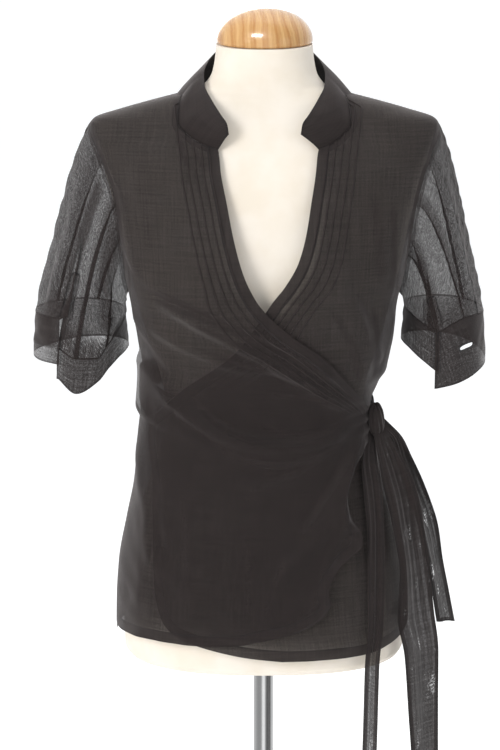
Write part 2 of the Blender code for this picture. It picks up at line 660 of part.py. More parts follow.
def neck_seam(t, side):
    """Angle and height along half the neck seam: t 0 is the front end, and 1 the middle back."""
    edge_x = RIGHT_EDGE_X if side < 0 else LEFT_EDGE_X
    z = np.where(t < COLLAR_SHARE, COLLAR_FRONT_Z + (NECK_Z - COLLAR_FRONT_Z) * t / COLLAR_SHARE, NECK_Z)
    start = np.abs(phi_at(edge_x(z), z))
    past = np.clip((t - COLLAR_SHARE) / (1 - COLLAR_SHARE), 0, 1)
    return side * (start + (math.pi - start) * past), z


def collar():
    """A stand collar: ruled from the neck seam to its top edge, and bowed a little outward."""
    top_of = curves(COLLAR_TOP, COLLAR_COLUMNS, "t")
    rows = np.array([z for z in ARM_ROWS + SHOULDER_ROWS if z >= COLLAR_FRONT_Z])
    sewn = COLLAR_SHARE * (rows - COLLAR_FRONT_Z) / (NECK_Z - COLLAR_FRONT_Z)
    half = np.concatenate([sewn, np.linspace(COLLAR_SHARE, 1, 9)[1:]])
    t = np.concatenate([half, half[-2::-1]])
    side = np.where(np.arange(len(t)) < len(half), -1.0, 1.0)
    phi, z = np.empty_like(t), np.empty_like(t)
    for value in (-1, 1):
        chosen = side == value
        phi[chosen], z[chosen] = neck_seam(t[chosen], value)
    corner, _, normal = laid(phi, z, np.zeros_like(t))
    top = np.stack([-side * top_of["x"](t), top_of["y"](t), top_of["z"](t)], axis=-1)
    foot = corner + COLLAR_SEAM * unit(top - corner)
    share = np.array([0.0, 0.35, 0.7, 1.0])[:, None, None]
    grid = foot + (top - foot) * share + normal * COLLAR_BOW * np.sin(math.pi * share)
    along = np.gradient(grid, axis=1)
    up = np.gradient(grid, axis=0)
    outward = unit(np.cross(along, up))
    outward *= np.sign(np.sum(outward * normal, axis=-1, keepdims=True))
    thick = CLOTH + (BAND_THICKNESS - CLOTH) * np.minimum(2 * share, 1)
    return wall("collar", grid, grid - thick * outward)


def armhole(angle, side):
    """Outer corner of the bodice along the armhole, its normal, and the way into the hole."""

    def at(turn):
        share = (1 + np.cos(turn)) / 2
        z = UNDERARM_Z + (SHOULDER_Z - UNDERARM_Z) * share
        front_half = np.sin(turn) > 0
        inset = np.where(front_half, -armhole_inset(z, ARMHOLE_FRONT), armhole_inset(z, ARMHOLE_BACK))
        return side * (math.pi / 2 + inset), z

    phi, z = at(angle)
    outer, _, normal = laid(phi, z, np.zeros_like(phi))
    along = unit(bodice_surface(*at(angle + 0.01)) - bodice_surface(*at(angle - 0.01)))
    return outer, normal, side * unit(np.cross(normal, along))


def cuff_ring(angle, arm, side, grow=0.0):
    """A point of the cuff's oval in plan, grown outward, with its outward direction."""
    outward = np.stack([side * np.cos(angle), -np.sin(angle)], axis=-1)
    centre = np.array([side * arm["centre"][0], arm["centre"][1]])
    return centre + outward * (np.array(arm["radii"]) + grow), outward


def sleeve_surface(arm, side):
    """The sleeve's outer face: a cubic from the armhole to the cuff for each angle round the arm."""
    first_turn, last_turn = (math.radians(value) for value in SLEEVE_SEAM_TURN)
    edges = curves(arm["cuff"], CUFF_COLUMNS, "angle")

    def surface(angle, w):
        angle, w = np.broadcast_arrays(np.asarray(angle, float), np.asarray(w, float))
        corner, normal, inward = armhole(angle, side)
        low = ((1 - np.cos(angle)) / 2)[..., None]
        turn = first_turn + (last_turn - first_turn) * low
        leave = np.sin(turn) * normal + np.cos(turn) * inward
        start = corner + SLEEVE_SEAM * leave
        plan, _ = cuff_ring(angle, arm, side)
        end = np.concatenate([plan, (edges["top"](np.degrees(angle)) + CUFF_SEAM)[..., None]], axis=-1)
        reach = np.linalg.norm(end - start, axis=-1, keepdims=True)
        arrive = unit(np.stack([side * SLEEVE_LEAN * (1 - low[..., 0]), 0 * angle, -1 + 0 * angle], axis=-1))
        first = start + leave * (0.06 * reach + 0.003)
        second = end - arrive * 0.38 * reach
        w = w[..., None]
        return (
            start * (1 - w) ** 3 + first * 3 * w * (1 - w) ** 2 + second * 3 * w**2 * (1 - w) + end * w**3
        )

    return surface


def sleeve(name, arm, side):
    """A short sleeve with soft lengthwise folds, open where its cuff's two ends meet."""
    surface = sleeve_surface(arm, side)
    start = arm["cuff"][0][0]
    degrees = np.linspace(start + CUFF_OPENING, start + 360 - CUFF_OPENING, SLEEVE_COLUMNS)
    angle, w = np.meshgrid(np.radians(degrees), np.array(SLEEVE_RINGS))
    grid = surface(angle, w)
    outward = normals_of(surface, angle, w)
    centre = np.array([side * arm["centre"][0], arm["centre"][1], 0])
    away = grid - centre
    middle_row = len(SLEEVE_RINGS) // 2
    sign = np.sign(np.sum(outward[middle_row, :, :2] * away[middle_row, :, :2]))
    outward = outward * sign
    height = np.zeros_like(w)
    for fold in named(SLEEVE_FOLDS, SLEEVE_FOLD_COLUMNS):
        off = (np.degrees(angle) - fold["angle"] + 180) % 360 - 180
        fade = smooth_step(w, fold["start"], fold["start"] + 0.35) * smooth_step(-w, -1.0, -0.88)
        height = np.maximum(height, fold["height"] * fade * np.exp(-((off / fold["width"]) ** 2)))
    grid = grid + outward * height[..., None]
    last = SLEEVE_COLUMNS - 1
    holes = {(ring, last) for ring in range(OPENING_FROM_RING, len(SLEEVE_RINGS) - 1)}
    return wall(name, grid, grid - CLOTH * outward, closed=True, holes=holes)


def cuff(name, arm, side, buttonhole):
    """A cuff left open: one band round the arm between its two ends."""
    edges = curves(arm["cuff"], CUFF_COLUMNS, "angle")
    start = arm["cuff"][0][0] + CUFF_OPENING
    end = arm["cuff"][0][0] + 360 - CUFF_OPENING
    if buttonhole:
        first, last = BUTTONHOLE_ANGLES[0], BUTTONHOLE_ANGLES[-1]
        before = np.linspace(start, first, 22)
        degrees = np.concatenate([before, BUTTONHOLE_ANGLES[1:], np.linspace(last, end, 4)[1:]])
        steps = np.array(CUFF_STEPS)
        holes = {(BUTTONHOLE_STEP, 21), (BUTTONHOLE_STEP, 22)}
    else:
        degrees = np.linspace(start, end, SLEEVE_COLUMNS)
        steps = np.linspace(0, 1, 4)
        holes = ()
    angle, v = np.meshgrid(np.radians(degrees), steps)
    plan, outward = cuff_ring(angle, arm, side, CUFF_FLARE * v[..., None])
    top, bottom = edges["top"](np.degrees(angle)), edges["bottom"](np.degrees(angle))
    grid = np.concatenate([plan, (top + (bottom - top) * v)[..., None]], axis=-1)
    thick = np.concatenate([outward, 0 * outward[..., :1]], axis=-1) * BAND_THICKNESS
    return wall(name, grid, grid - thick, holes=holes)


def knot_place():
    """The knot's angle on the bodice, its middle, and its outward, waist and up directions."""
    speed = np.linalg.norm(bodice_surface(1.2, KNOT_Z) - bodice_surface(1.1, KNOT_Z)) / 0.1
    phi = float(phi_at(RIGHT_EDGE_X(KNOT_Z), KNOT_Z)) + KNOT_STEP / speed
    normal = normals_of(bodice_surface, np.array(phi), np.array(KNOT_Z))
    outward = unit(np.array([normal[0], normal[1], 0.0]))
    along = np.array([-outward[1], outward[0], 0.0])
    middle = bodice_surface(phi, KNOT_Z) + outward * (CLOTH + SEAM + KNOT_RADII[0])
    return phi, speed, middle, np.array([outward, along, [0.0, 0.0, 1.0]])


def sash_knot():
    """The knot that both ties are drawn into: an oval ball, pinched by two wraps."""
    _, _, middle, axes = knot_place()
    rows, sides = 8, 16
    lat = np.linspace(-0.94, 0.94, rows) * math.pi / 2
    turn = np.arange(sides) * 2 * math.pi / sides
    lat, turn = np.meshgrid(lat, turn, indexing="ij")
    ball = np.stack([np.cos(lat) * np.cos(turn), np.cos(lat) * np.sin(turn), np.sin(lat)], axis=-1)
    pinch = 1 - 0.07 * np.abs(np.sin(2 * lat + turn))
    return tube("sash_knot", middle + (ball * pinch[..., None] * KNOT_RADII) @ axes)


def sash_back():
    """The left front's tie: from its edge, out at the right side seam and round the back to the knot."""
    columns, across = 31, 5
    knot_phi, speed, _, _ = knot_place()
    turn = np.linspace(0, 1, columns)
    path = curves(BAND, BAND_COLUMNS, "turn")
    v = np.linspace(-0.5, 0.5, across)[:, None]
    z = path["middle"](turn) + path["width"](turn) * v
    start = phi_at(LEFT_EDGE_X(z[:, :1]) - 2.2 * SEAM, z[:, :1])
    end = knot_phi + BAND_STOP / speed - 2 * math.pi
    phi = start + (end - start) * turn
    ripple = BAND_RIPPLE * (1 + np.cos(3 * math.pi * v)) * smooth_step(turn, 0.2, 0.3)
    out = (CLOTH + BAND_OVER) * smooth_step(turn, *BAND_OUT)
    lift = np.maximum(out, SEAM) + ripple * smooth_step(-turn, -1.0, -0.9)
    outer, inner, _ = laid(phi, z, lift, BAND_THICKNESS)
    return wall("sash_back", outer, inner)


def tie(name, rows):
    """A hanging tie: it leaves the knot, and its table gives both edges from there down."""
    _, _, middle, axes = knot_place()
    start = dict(zip(TIE_START_COLUMNS, TIE_STARTS[name]))
    way = unit(np.array([start["x"], start["y"], start["z"]]))
    reach = 1 / np.linalg.norm((axes @ way) / np.array(KNOT_RADII))
    top = middle + way * (reach + start["gap"])
    first = np.array([[row["x0"], row["y0"], row["z"]] for row in named(rows, TIE_COLUMNS)])
    second = np.array([[row["x1"], row["y1"], row["z"]] for row in named(rows, TIE_COLUMNS)])
    across = unit(second[0] - first[0])
    across = unit(across - way * np.dot(across, way))
    first = np.concatenate([[top - across * start["width"] / 2], first])
    second = np.concatenate([[top + across * start["width"] / 2], second])
    steps = np.linspace(0, 1, 7)[None, :, None]
    grid = first[:, None] + (second - first)[:, None] * steps
    facing = unit(np.cross(np.gradient(grid, axis=0), np.gradient(grid, axis=1)))
    facing = facing * np.sign(-facing[len(grid) // 2, 3, 1])
    opened = smooth_step(np.arange(len(grid)), 0, 3)[:, None, None]
    grid = grid + facing * TIE_PLEAT[name] * np.sin(2.5 * math.pi * steps) * opened
    half = facing * BAND_THICKNESS / 2
    return wall(name, grid + half, grid - half)


def form_torso():
    """The dress form's body: rings of its skin, closed across the neck and the underside."""
    angle = np.arange(28) * 2 * math.pi / 28
    phi, z = np.meshgrid(angle, [row[0] for row in FORM])
    return tube("form_torso", form_surface(phi, z))


def form_neck_cap():
    """The turned wooden cap on the neck: a low dome with a rounded lower edge, leaning with the neck."""
    radius, height, rounding = NECK_CAP
    profile = [(radius - rounding, 0.0), (radius - 0.3 * rounding, 0.3 * rounding), (radius, rounding)]
    for step in range(1, 7):
        turn = step / 6 * math.radians(86)
        profile.append((radius * math.cos(turn), rounding + (height - rounding) * math.sin(turn)))
    cap = lathe("form_neck_cap", profile, 24)
    top = form_surface(np.array([0.0, math.pi]), FORM[-1][0])
    centre = top.mean(axis=0)
    tilt = NECK_TILT
    turned = np.array([[1, 0, 0], [0, math.cos(tilt), -math.sin(tilt)], [0, math.sin(tilt), math.cos(tilt)]])
    for vertex in cap.data.vertices:
        place = turned @ (np.array(vertex.co) + [0, 0, TOUCH]) + centre
        vertex.co = tuple(place)
    return cap


def form_pole():
    """The chrome pole, from the stand's boss to the form's underside."""
    low = BASE_HEIGHT + BASE_BOSS[1] + TOUCH
    return lathe("form_pole", [(POLE_RADIUS, low), (POLE_RADIUS, FORM[0][0] - TOUCH)], 24)


def form_base():
    """The round plate that stands on the floor, with the boss that takes the pole."""
    boss, rise = BASE_BOSS
    top = BASE_HEIGHT
    profile = [
        (BASE_RADIUS - 0.002, 0.0),
        (BASE_RADIUS, 0.002),
        (BASE_RADIUS, top - 0.004),
        (BASE_RADIUS - 0.004, top),
        (boss + 0.004, top + 0.001),
        (boss, top + 0.004),
        (boss, top + rise - 0.003),
        (boss - 0.003, top + rise),
    ]
    return lathe("form_base", profile, 36)


def material(name):
    colour, roughness, metallic = COLOURS[name]
    made = bpy.data.materials.new(name)
    made.use_nodes = True
    shader = made.node_tree.nodes["Principled BSDF"]
    shader.inputs["Base Color"].default_value = colour
    shader.inputs["Roughness"].default_value = roughness
    shader.inputs["Metallic"].default_value = metallic
    made.diffuse_color = colour
    return made


def blouse():
    """Every cut piece of the blouse."""
    return [
        back(),
        front("front_right", RIGHT_EDGE_X, RIGHT_ROWS, -1, RIGHT_FOLDS, overlap_lift),
        front("front_left", LEFT_EDGE_X, LEFT_ROWS, 1, LEFT_FOLDS, lambda x, z, phi: 0 * x),
        collar(),
        sleeve("sleeve_right", RIGHT_ARM, -1),
        sleeve("sleeve_left", LEFT_ARM, 1),
        cuff("cuff_right", RIGHT_ARM, -1, False),
        cuff("cuff_left", LEFT_ARM, 1, True),
        sash_back(),
        sash_knot(),
        tie("tie_narrow", TIE_NARROW),
        tie("tie_wide", TIE_WIDE),
        tie("tie_short", TIE_SHORT),
    ]


def main():
    for old in list(bpy.data.objects):
        bpy.data.objects.remove(old)
    pieces = {
        "cloth": blouse(),
        "jersey": [form_torso()],
        "beech": [form_neck_cap()],
        "chrome": [form_pole(), form_base()],
    }
    for name, made in pieces.items():
        finish = material(name)
        for piece in made:
            piece.data.materials.append(finish)


if __name__ == "__main__":
    main()
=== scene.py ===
"""The looks of a black wrap blouse of sheer voile, worn by a limbless dress form on a round stand.

Metres, +Z up, origin under the stand. The front faces -Y, and +X is the wearer's left.
Each cut piece of cloth is one sheet of points laid where the frame's solid wall is, with its
pintucks, folds and pleats; its hems, seams and stitching follow distances kept on its points.
"""

import math

import bmesh
import bpy
import numpy as np
from bpy.props import FloatProperty, FloatVectorProperty, PointerProperty
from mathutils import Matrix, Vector


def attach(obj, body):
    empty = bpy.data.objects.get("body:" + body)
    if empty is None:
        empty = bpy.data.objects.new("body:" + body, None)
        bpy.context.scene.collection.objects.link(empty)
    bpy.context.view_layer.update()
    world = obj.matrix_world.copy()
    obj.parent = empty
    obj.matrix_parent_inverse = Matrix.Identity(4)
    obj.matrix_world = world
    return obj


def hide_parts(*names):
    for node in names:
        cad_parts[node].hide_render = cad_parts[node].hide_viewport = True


bl_info = {
    "name": "Wrap blouse on a dress form",
    "version": (1, 0, 0),
    "blender": (4, 5, 0),
    "location": "View3D > Sidebar > Blouse",
    "description": "A sheer wrap blouse with a stand collar and tied sash, on a limbless dress form",
    "category": "Add Mesh",
}

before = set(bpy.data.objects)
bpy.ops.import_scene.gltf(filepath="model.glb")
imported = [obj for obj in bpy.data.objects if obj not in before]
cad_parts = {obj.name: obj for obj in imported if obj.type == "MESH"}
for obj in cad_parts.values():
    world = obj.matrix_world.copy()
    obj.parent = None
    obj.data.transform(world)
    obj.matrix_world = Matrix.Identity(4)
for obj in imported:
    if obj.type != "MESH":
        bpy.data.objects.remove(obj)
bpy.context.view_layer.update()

# Driving dimensions
CLOTH = 0.0012  # one thickness of voile, made stout enough to be a solid
BAND_THICKNESS = 0.0020  # collar, cuffs and ties are cloth doubled
SEAM = 0.0001  # the gap between two pieces at a side seam
UNDERARM_Z = 1.225  # top of the side seams
SHOULDER_Z = 1.430  # outer end of the shoulder seams
NECK_Z = 1.4575  # back neck seam and the shoulder seams' inner ends
WRAP_Z = 1.2205  # where the two neckline edges cross
OVERLAP_LIFT = 0.0040  # how far the right front stands off where it crosses the left
CORNER = 2.4  # power of the oval sections: 2 is an ellipse, more is squarer
TUCKS = 5  # pintucks beside each neckline edge
TUCK_PITCH = 0.0084
TUCK_START = 0.0105  # from the edge to the first pintuck
TUCKS_FROM = {"front_right": 1.098, "front_left": 1.130}  # height at which they run out
TUCKS_FADE = 0.05
GATHER = 0.62  # how much the tucked strip is drawn together at the knot
GATHER_SPREAD = 0.045
STRIP_LEAN = 1.7  # most that a sloping edge widens the tucked strip, seen from the front
STRIP_SHARE = 0.55  # most of a front's width that it may take
HEM_TOP = 0.960  # above this the hem's slope leaves the rows level

# Sections of the worn bodice: half widths on the wearer's right and left, and depths
BODICE_COLUMNS = ("z", "right", "left", "front", "back")
BODICE = (
    (0.8, 0.18, 0.176, 0.144, 0.139),
    (0.85, 0.179, 0.1755, 0.1445, 0.14),
    (0.9, 0.1755, 0.172, 0.1425, 0.137),
    (0.95, 0.166, 0.163, 0.137, 0.129),
    (1.0, 0.156, 0.149, 0.127, 0.116),
    (1.05, 0.1515, 0.134, 0.116, 0.102),
    (1.09, 0.1475, 0.127, 0.112, 0.095),
    (1.13, 0.145, 0.14, 0.117, 0.095),
    (1.17, 0.15, 0.15, 0.125, 0.099),
    (1.225, 0.16, 0.159, 0.135, 0.107),
    (1.26, 0.169, 0.169, 0.134, 0.111),
    (1.31, 0.179, 0.184, 0.1215, 0.112),
    (1.35, 0.189, 0.193, 0.106, 0.108),
    (1.39, 0.199, 0.201, 0.087, 0.098),
    (1.415, 0.2045, 0.2045, 0.073, 0.087),
    (1.424, 0.2035, 0.2035, 0.068, 0.082),
    (1.43, 0.1985, 0.1985, 0.0645, 0.079),
    (1.44, 0.1685, 0.1685, 0.0595, 0.0755),
    (1.45, 0.1325, 0.1325, 0.055, 0.0725),
    (1.46, 0.093, 0.093, 0.051, 0.07),
)

# Sections of the dress form under it
FORM_COLUMNS = ("z", "half", "front", "back")
FORM = (
    (0.788, 0.166, 0.123, 0.12),
    (0.796, 0.17, 0.129, 0.127),
    (0.85, 0.171, 0.132, 0.131),
    (0.9, 0.165, 0.129, 0.128),
    (0.95, 0.153, 0.12, 0.117),
    (1.0, 0.137, 0.107, 0.101),
    (1.05, 0.122, 0.094, 0.087),
    (1.09, 0.118, 0.09, 0.082),
    (1.13, 0.125, 0.096, 0.085),
    (1.17, 0.138, 0.105, 0.091),
    (1.225, 0.152, 0.114, 0.1),
    (1.26, 0.161, 0.113, 0.105),
    (1.31, 0.171, 0.106, 0.107),
    (1.35, 0.182, 0.096, 0.103),
    (1.39, 0.193, 0.081, 0.093),
    (1.415, 0.199, 0.069, 0.082),
    (1.423, 0.2, 0.0645, 0.078),
    (1.4291, 0.197, 0.061, 0.075),
    (1.4391, 0.1685, 0.0565, 0.0715),
    (1.4491, 0.1325, 0.0525, 0.0685),
    (1.4591, 0.093, 0.049, 0.066),
    (1.468, 0.072, 0.048, 0.064),
    (1.483, 0.061, 0.048, 0.064),
    (1.5, 0.0575, 0.048, 0.065),
    (1.515, 0.056, 0.048, 0.065),
)
FORM_BUST = (0.078, 1.240, 0.048, 0.016)  # x, z, spread and rise of each side
CLOTH_BUST = (0.078, 1.240, 0.052, 0.005)
NECK_TILT = math.radians(6)  # the neck's top slopes down to the front
NECK_TILT_FROM = 1.470

# The right front's edge, from its hem corner up to the collar: x at each height
EDGE_COLUMNS = ("z", "x")
RIGHT_EDGE = (
    (0.83, -0.063),
    (0.833, -0.028),
    (0.839, 0.001),
    (0.848, 0.036),
    (0.857, 0.056),
    (0.866, 0.068),
    (0.88, 0.0745),
    (0.894, 0.071),
    (0.91, 0.077),
    (0.925, 0.087),
    (0.945, 0.106),
    (0.96, 0.105),
    (0.975, 0.097),
    (0.996, 0.094),
    (1.029, 0.101),
    (1.048, 0.113),
    (1.056, 0.117),
    (1.09, 0.118),
    (1.1, 0.116),
    (1.1347, 0.093),
    (1.168, 0.064),
    (1.1935, 0.031),
    (1.2205, 0.001),
    (1.234, -0.01),
    (1.2626, -0.024),
    (1.301, -0.035),
    (1.339, -0.0427),
    (1.372, -0.0495),
    (1.399, -0.053),
    (1.404, -0.07),
    (1.412, -0.084),
    (1.428, -0.099),
    (1.445, -0.0985),
    (1.46, -0.095),
)

# The left front's edge; below the crossing the right front hides it
LEFT_EDGE = (
    (0.812, 0.02),
    (0.8165, -0.02),
    (0.822, -0.05),
    (0.829, -0.08),
    (0.838, -0.105),
    (0.855, -0.12),
    (0.89, -0.128),
    (0.95, -0.13),
    (1.02, -0.131),
    (1.06, -0.136),
    (1.0786, -0.134),
    (1.1, -0.118),
    (1.124, -0.094),
    (1.1727, -0.033),
    (1.2205, 0.001),
    (1.231, 0.008),
    (1.251, 0.0235),
    (1.277, 0.038),
    (1.306, 0.0463),
    (1.339, 0.052),
    (1.372, 0.0575),
    (1.399, 0.061),
    (1.404, 0.074),
    (1.412, 0.086),
    (1.428, 0.0985),
    (1.445, 0.097),
    (1.46, 0.093),
)

# Heights of the grid rows, hem to underarm, and those that all bodice pieces share above it
RIGHT_ROWS = (
    0.83, 0.8335, 0.839, 0.848, 0.857, 0.867, 0.88, 0.894, 0.91, 0.928, 0.946, 0.966, 0.989,
    1.012, 1.032, 1.05, 1.066, 1.082, 1.098, 1.112, 1.13, 1.15, 1.17, 1.188, 1.2045, 1.216,
)
LEFT_ROWS = (
    0.812, 0.8165, 0.822, 0.829, 0.838, 0.855, 0.89, 0.93, 0.97, 1.005, 1.035, 1.06,
    1.078, 1.096, 1.116, 1.138, 1.16, 1.182, 1.202, 1.215,
)
BACK_ROWS = (
    0.812, 0.845, 0.88, 0.915, 0.95, 0.985, 1.018, 1.047,
    1.072, 1.096, 1.12, 1.144, 1.17, 1.198,
)
ARM_ROWS = (
    1.225, 1.229, 1.24, 1.258, 1.28, 1.305, 1.33, 1.355, 1.378,
    1.399, 1.404, 1.409, 1.415, 1.421, 1.426, 1.43,
)
SHOULDER_ROWS = (1.4360, 1.4430, 1.4500, 1.4575)
ARMHOLE_FRONT = math.radians(25)  # how far each armhole cuts into the front
ARMHOLE_BACK = math.radians(21)
HEM_SIDES = {"front_right": -0.008, "front_left": 0.016}  # a front's hem at its side, from its edge
HEM_BACK = (-0.008, 0.002, 0.012)  # the back's hem above its first row: right side, middle, left side
HEM_FROM = math.radians(35)

# Folds: a bowed ridge from one point to another, in the front view or the back's
FOLD_COLUMNS = ("x0", "z0", "x1", "z1", "bow", "height", "width")
RIGHT_FOLDS = (
    (-0.14, 1.236, 0.104, 1.09, 0.012, 0.005, 0.0075),
    (-0.118, 1.222, 0.08, 1.112, 0.01, 0.0035, 0.006),
    (-0.148, 1.208, 0.02, 1.15, -0.01, 0.005, 0.008),
    (-0.138, 1.15, 0.108, 1.08, -0.05, 0.0065, 0.009),
    (-0.12, 1.1, 0.108, 1.068, -0.04, 0.004, 0.008),
    (0.108, 1.06, 0.0, 0.9, 0.02, 0.005, 0.011),
    (0.106, 1.054, 0.056, 0.905, 0.008, 0.005, 0.008),
    (0.108, 1.046, 0.088, 0.95, 0.004, 0.0045, 0.0065),
    (-0.15, 1.06, -0.128, 0.9, 0.006, 0.0045, 0.009),
)
LEFT_FOLDS = (
    (0.062, 1.222, 0.12, 1.13, 0.006, 0.0022, 0.007),
    (0.085, 1.24, 0.135, 1.14, 0.006, 0.0026, 0.008),
    (0.15, 1.215, 0.13, 1.12, 0.002, 0.003, 0.007),
)
BACK_FOLDS = (
    (0.11, 1.26, 0.1, 1.12, 0.004, 0.0045, 0.009),
    (0.07, 1.24, 0.07, 1.122, 0.003, 0.004, 0.009),
    (0.02, 1.23, 0.025, 1.128, 0.002, 0.0035, 0.009),
    (-0.04, 1.225, -0.03, 1.134, 0.002, 0.0035, 0.009),
    (-0.095, 1.235, -0.085, 1.142, 0.002, 0.004, 0.009),
    (0.105, 1.06, 0.125, 0.89, 0.004, 0.005, 0.011),
    (0.065, 1.064, 0.075, 0.88, 0.003, 0.005, 0.011),
    (0.02, 1.068, 0.022, 0.89, 0.002, 0.0045, 0.011),
    (-0.035, 1.074, -0.04, 0.9, 0.002, 0.0045, 0.011),
    (-0.09, 1.08, -0.1, 0.92, -0.003, 0.004, 0.011),
)

# The opening in the right side seam where the left front's tie comes out
TIE_SLIT_Z = 1.1185
TIE_SLIT_SLOPE = 0.42  # it falls toward the front, along the tie inside
TIE_SLIT_HALF = 0.0250
TIE_SLIT_LIFT = 0.0062
TIE_SLIT_RAMP = 0.016
LIFT_FROM = -0.136  # x from which the right front clears the left one, below the waist
LIFT_BELOW = 1.060

# The collar's top edge, for the wearer's right half, front end first
COLLAR_COLUMNS = ("t", "x", "y", "z")
COLLAR_TOP = (
    (0.0, -0.0405, -0.086, 1.4165),
    (0.06, -0.0425, -0.085, 1.4275),
    (0.16, -0.0505, -0.077, 1.4395),
    (0.28, -0.0605, -0.059, 1.4545),
    (0.4, -0.069, -0.036, 1.47),
    (0.52, -0.0705, -0.01, 1.483),
    (0.64, -0.066, 0.018, 1.496),
    (0.78, -0.0535, 0.05, 1.508),
    (0.9, -0.03, 0.072, 1.5125),
    (1.0, 0.0, 0.079, 1.514),
)
COLLAR_FRONT_Z = 1.399  # where the neck seam leaves the wrap edge
COLLAR_SHARE = 0.50  # part of the half collar that is sewn to the front
COLLAR_BOW = 0.0025
COLLAR_SEAM = -0.0016  # how far the collar reaches past its seam, under the bodice

# Cuffs: the heights of their edges round the arm. Angle 0 is the outer side, 90 the front.
CUFF_COLUMNS = ("angle", "top", "bottom")
RIGHT_CUFF = (
    (66, 1.166, 1.129),
    (88, 1.1545, 1.112),
    (115, 1.154, 1.126),
    (130, 1.168, 1.141),
    (150, 1.185, 1.153),
    (180, 1.2, 1.16),
    (225, 1.207, 1.162),
    (270, 1.209, 1.16),
    (315, 1.207, 1.154),
    (360, 1.205, 1.151),
    (395, 1.203, 1.148),
    (426, 1.201, 1.1465),
)
LEFT_CUFF = (
    (104, 1.184, 1.138),
    (126, 1.194, 1.151),
    (155, 1.205, 1.164),
    (180, 1.21, 1.168),
    (225, 1.213, 1.169),
    (270, 1.213, 1.166),
    (315, 1.21, 1.158),
    (360, 1.205, 1.145),
    (396, 1.204, 1.137),
    (420, 1.203, 1.129),
    (440, 1.197, 1.123),
    (464, 1.185, 1.118),
)
RIGHT_ARM = {"centre": (0.2185, -0.0010), "radii": (0.0545, 0.0570), "cuff": RIGHT_CUFF}
LEFT_ARM = {"centre": (0.2140, -0.0010), "radii": (0.0480, 0.0560), "cuff": LEFT_CUFF}
CUFF_OVER = 2.4  # degrees that each end of a cuff and of its slit goes past the other
CUFF_FLARE = 0.0035
CUFF_STEPS = (0.0, 0.44, 0.505, 0.75, 1.0)
BUTTONHOLE_ANGLES = (411.5, 422.0, 432.5)  # in the left cuff, 18 mm long
SLEEVE_SEAM = -0.0016  # and the sleeves past theirs
CUFF_SEAM = -0.0020  # and past the tops of the cuffs
SLEEVE_LEAN = 0.30  # outward for each metre down, where a sleeve meets its cuff
SLEEVE_SEAM_TURN = (20.0, 88.0)  # how far the sleeve turns off the bodice, top and underarm
SLEEVE_FOLD_COLUMNS = ("angle", "height", "width", "start")
SLEEVE_FOLDS = (
    (18, 0.005, 13, 0.1),
    (52, 0.0055, 13, 0.22),
    (92, 0.005, 14, 0.3),
    (130, 0.004, 13, 0.4),
    (238, 0.004, 15, 0.3),
    (282, 0.005, 15, 0.22),
    (326, 0.005, 14, 0.15),
)

# The left front's tie, round the back of the waist to the knot: middle height and width
BAND_COLUMNS = ("turn", "middle", "width")
BAND = (
    (0.0, 1.1, 0.033),
    (0.09, 1.11, 0.0345),
    (0.18, 1.118, 0.035),
    (0.35, 1.1165, 0.035),
    (0.6, 1.102, 0.034),
    (0.8, 1.088, 0.031),
    (0.92, 1.082, 0.026),
    (1.0, 1.078, 0.02),
)
BAND_OVER = 0.0016  # clear of the back that it lies on
BAND_OUT = (0.09, 0.150)  # where along it the band comes out from under the right front
BAND_RIPPLE = 0.0006
KNOT_Z = 1.0770
KNOT_STEP = 0.0079  # round the waist, from the right front's edge to the knot's middle
KNOT_SWELL = np.array([1.10, 1.25, 1.15])  # cloth of the looks that stands proud of the frame's knot
KNOT_RADII = (0.0095, 0.0115, 0.0190)  # outward, along the waist, up
BAND_STOP = 0.0078  # from the knot's middle to the end of the band

# Ties: both edges in plan at each height. They lie off the hip and hang free below it.
TIE_COLUMNS = ("z", "x0", "y0", "x1", "y1")
TIE_NARROW = (
    (1.035, 0.113, -0.087, 0.132, -0.076),
    (1.005, 0.115, -0.0985, 0.137, -0.087),
    (0.96, 0.119, -0.1095, 0.139, -0.1),
    (0.9, 0.12, -0.1205, 0.14, -0.113),
    (0.85, 0.121, -0.125, 0.139, -0.119),
    (0.8, 0.1175, -0.127, 0.1345, -0.124),
    (0.73, 0.116, -0.1275, 0.133, -0.1265),
    (0.66, 0.115, -0.127, 0.132, -0.129),
    (0.59, 0.1165, -0.127, 0.131, -0.13),
)
TIE_WIDE = (
    (1.038, 0.133, -0.076, 0.161, -0.06),
    (1.015, 0.137, -0.082, 0.172, -0.062),
    (0.985, 0.144, -0.086, 0.1815, -0.063),
    (0.95, 0.151, -0.088, 0.187, -0.064),
    (0.9, 0.158, -0.089, 0.194, -0.066),
    (0.85, 0.1575, -0.089, 0.201, -0.067),
    (0.8, 0.167, -0.089, 0.208, -0.068),
    (0.73, 0.173, -0.088, 0.209, -0.07),
    (0.66, 0.178, -0.087, 0.21, -0.072),
    (0.56, 0.181, -0.087, 0.213, -0.073),
)
TIE_SHORT = (
    (1.056, 0.15, -0.052, 0.164, -0.046),
    (1.035, 0.155, -0.05, 0.174, -0.044),
    (1.0, 0.166, -0.049, 0.19, -0.043),
    (0.95, 0.183, -0.048, 0.207, -0.043),
    (0.91, 0.193, -0.048, 0.213, -0.044),
    (0.87, 0.201, -0.049, 0.2215, -0.045),
    (0.83, 0.208, -0.05, 0.23, -0.046),
)
TIE_START_COLUMNS = ("x", "y", "z", "width", "gap")  # way from the knot's middle, width and gap there
TIE_STARTS = {
    "tie_narrow": (-0.55, -0.45, -1.0, 0.012, 0.0011),
    "tie_wide": (0.35, -0.35, -0.75, 0.019, 0.0007),
    "tie_short": (0.95, 0.25, -0.25, 0.017, 0.0006),
}
TIE_PLEAT = {  # depth of the two and a half waves across each
    "tie_narrow": 0.0012,
    "tie_wide": 0.0026,
    "tie_short": 0.002,
}

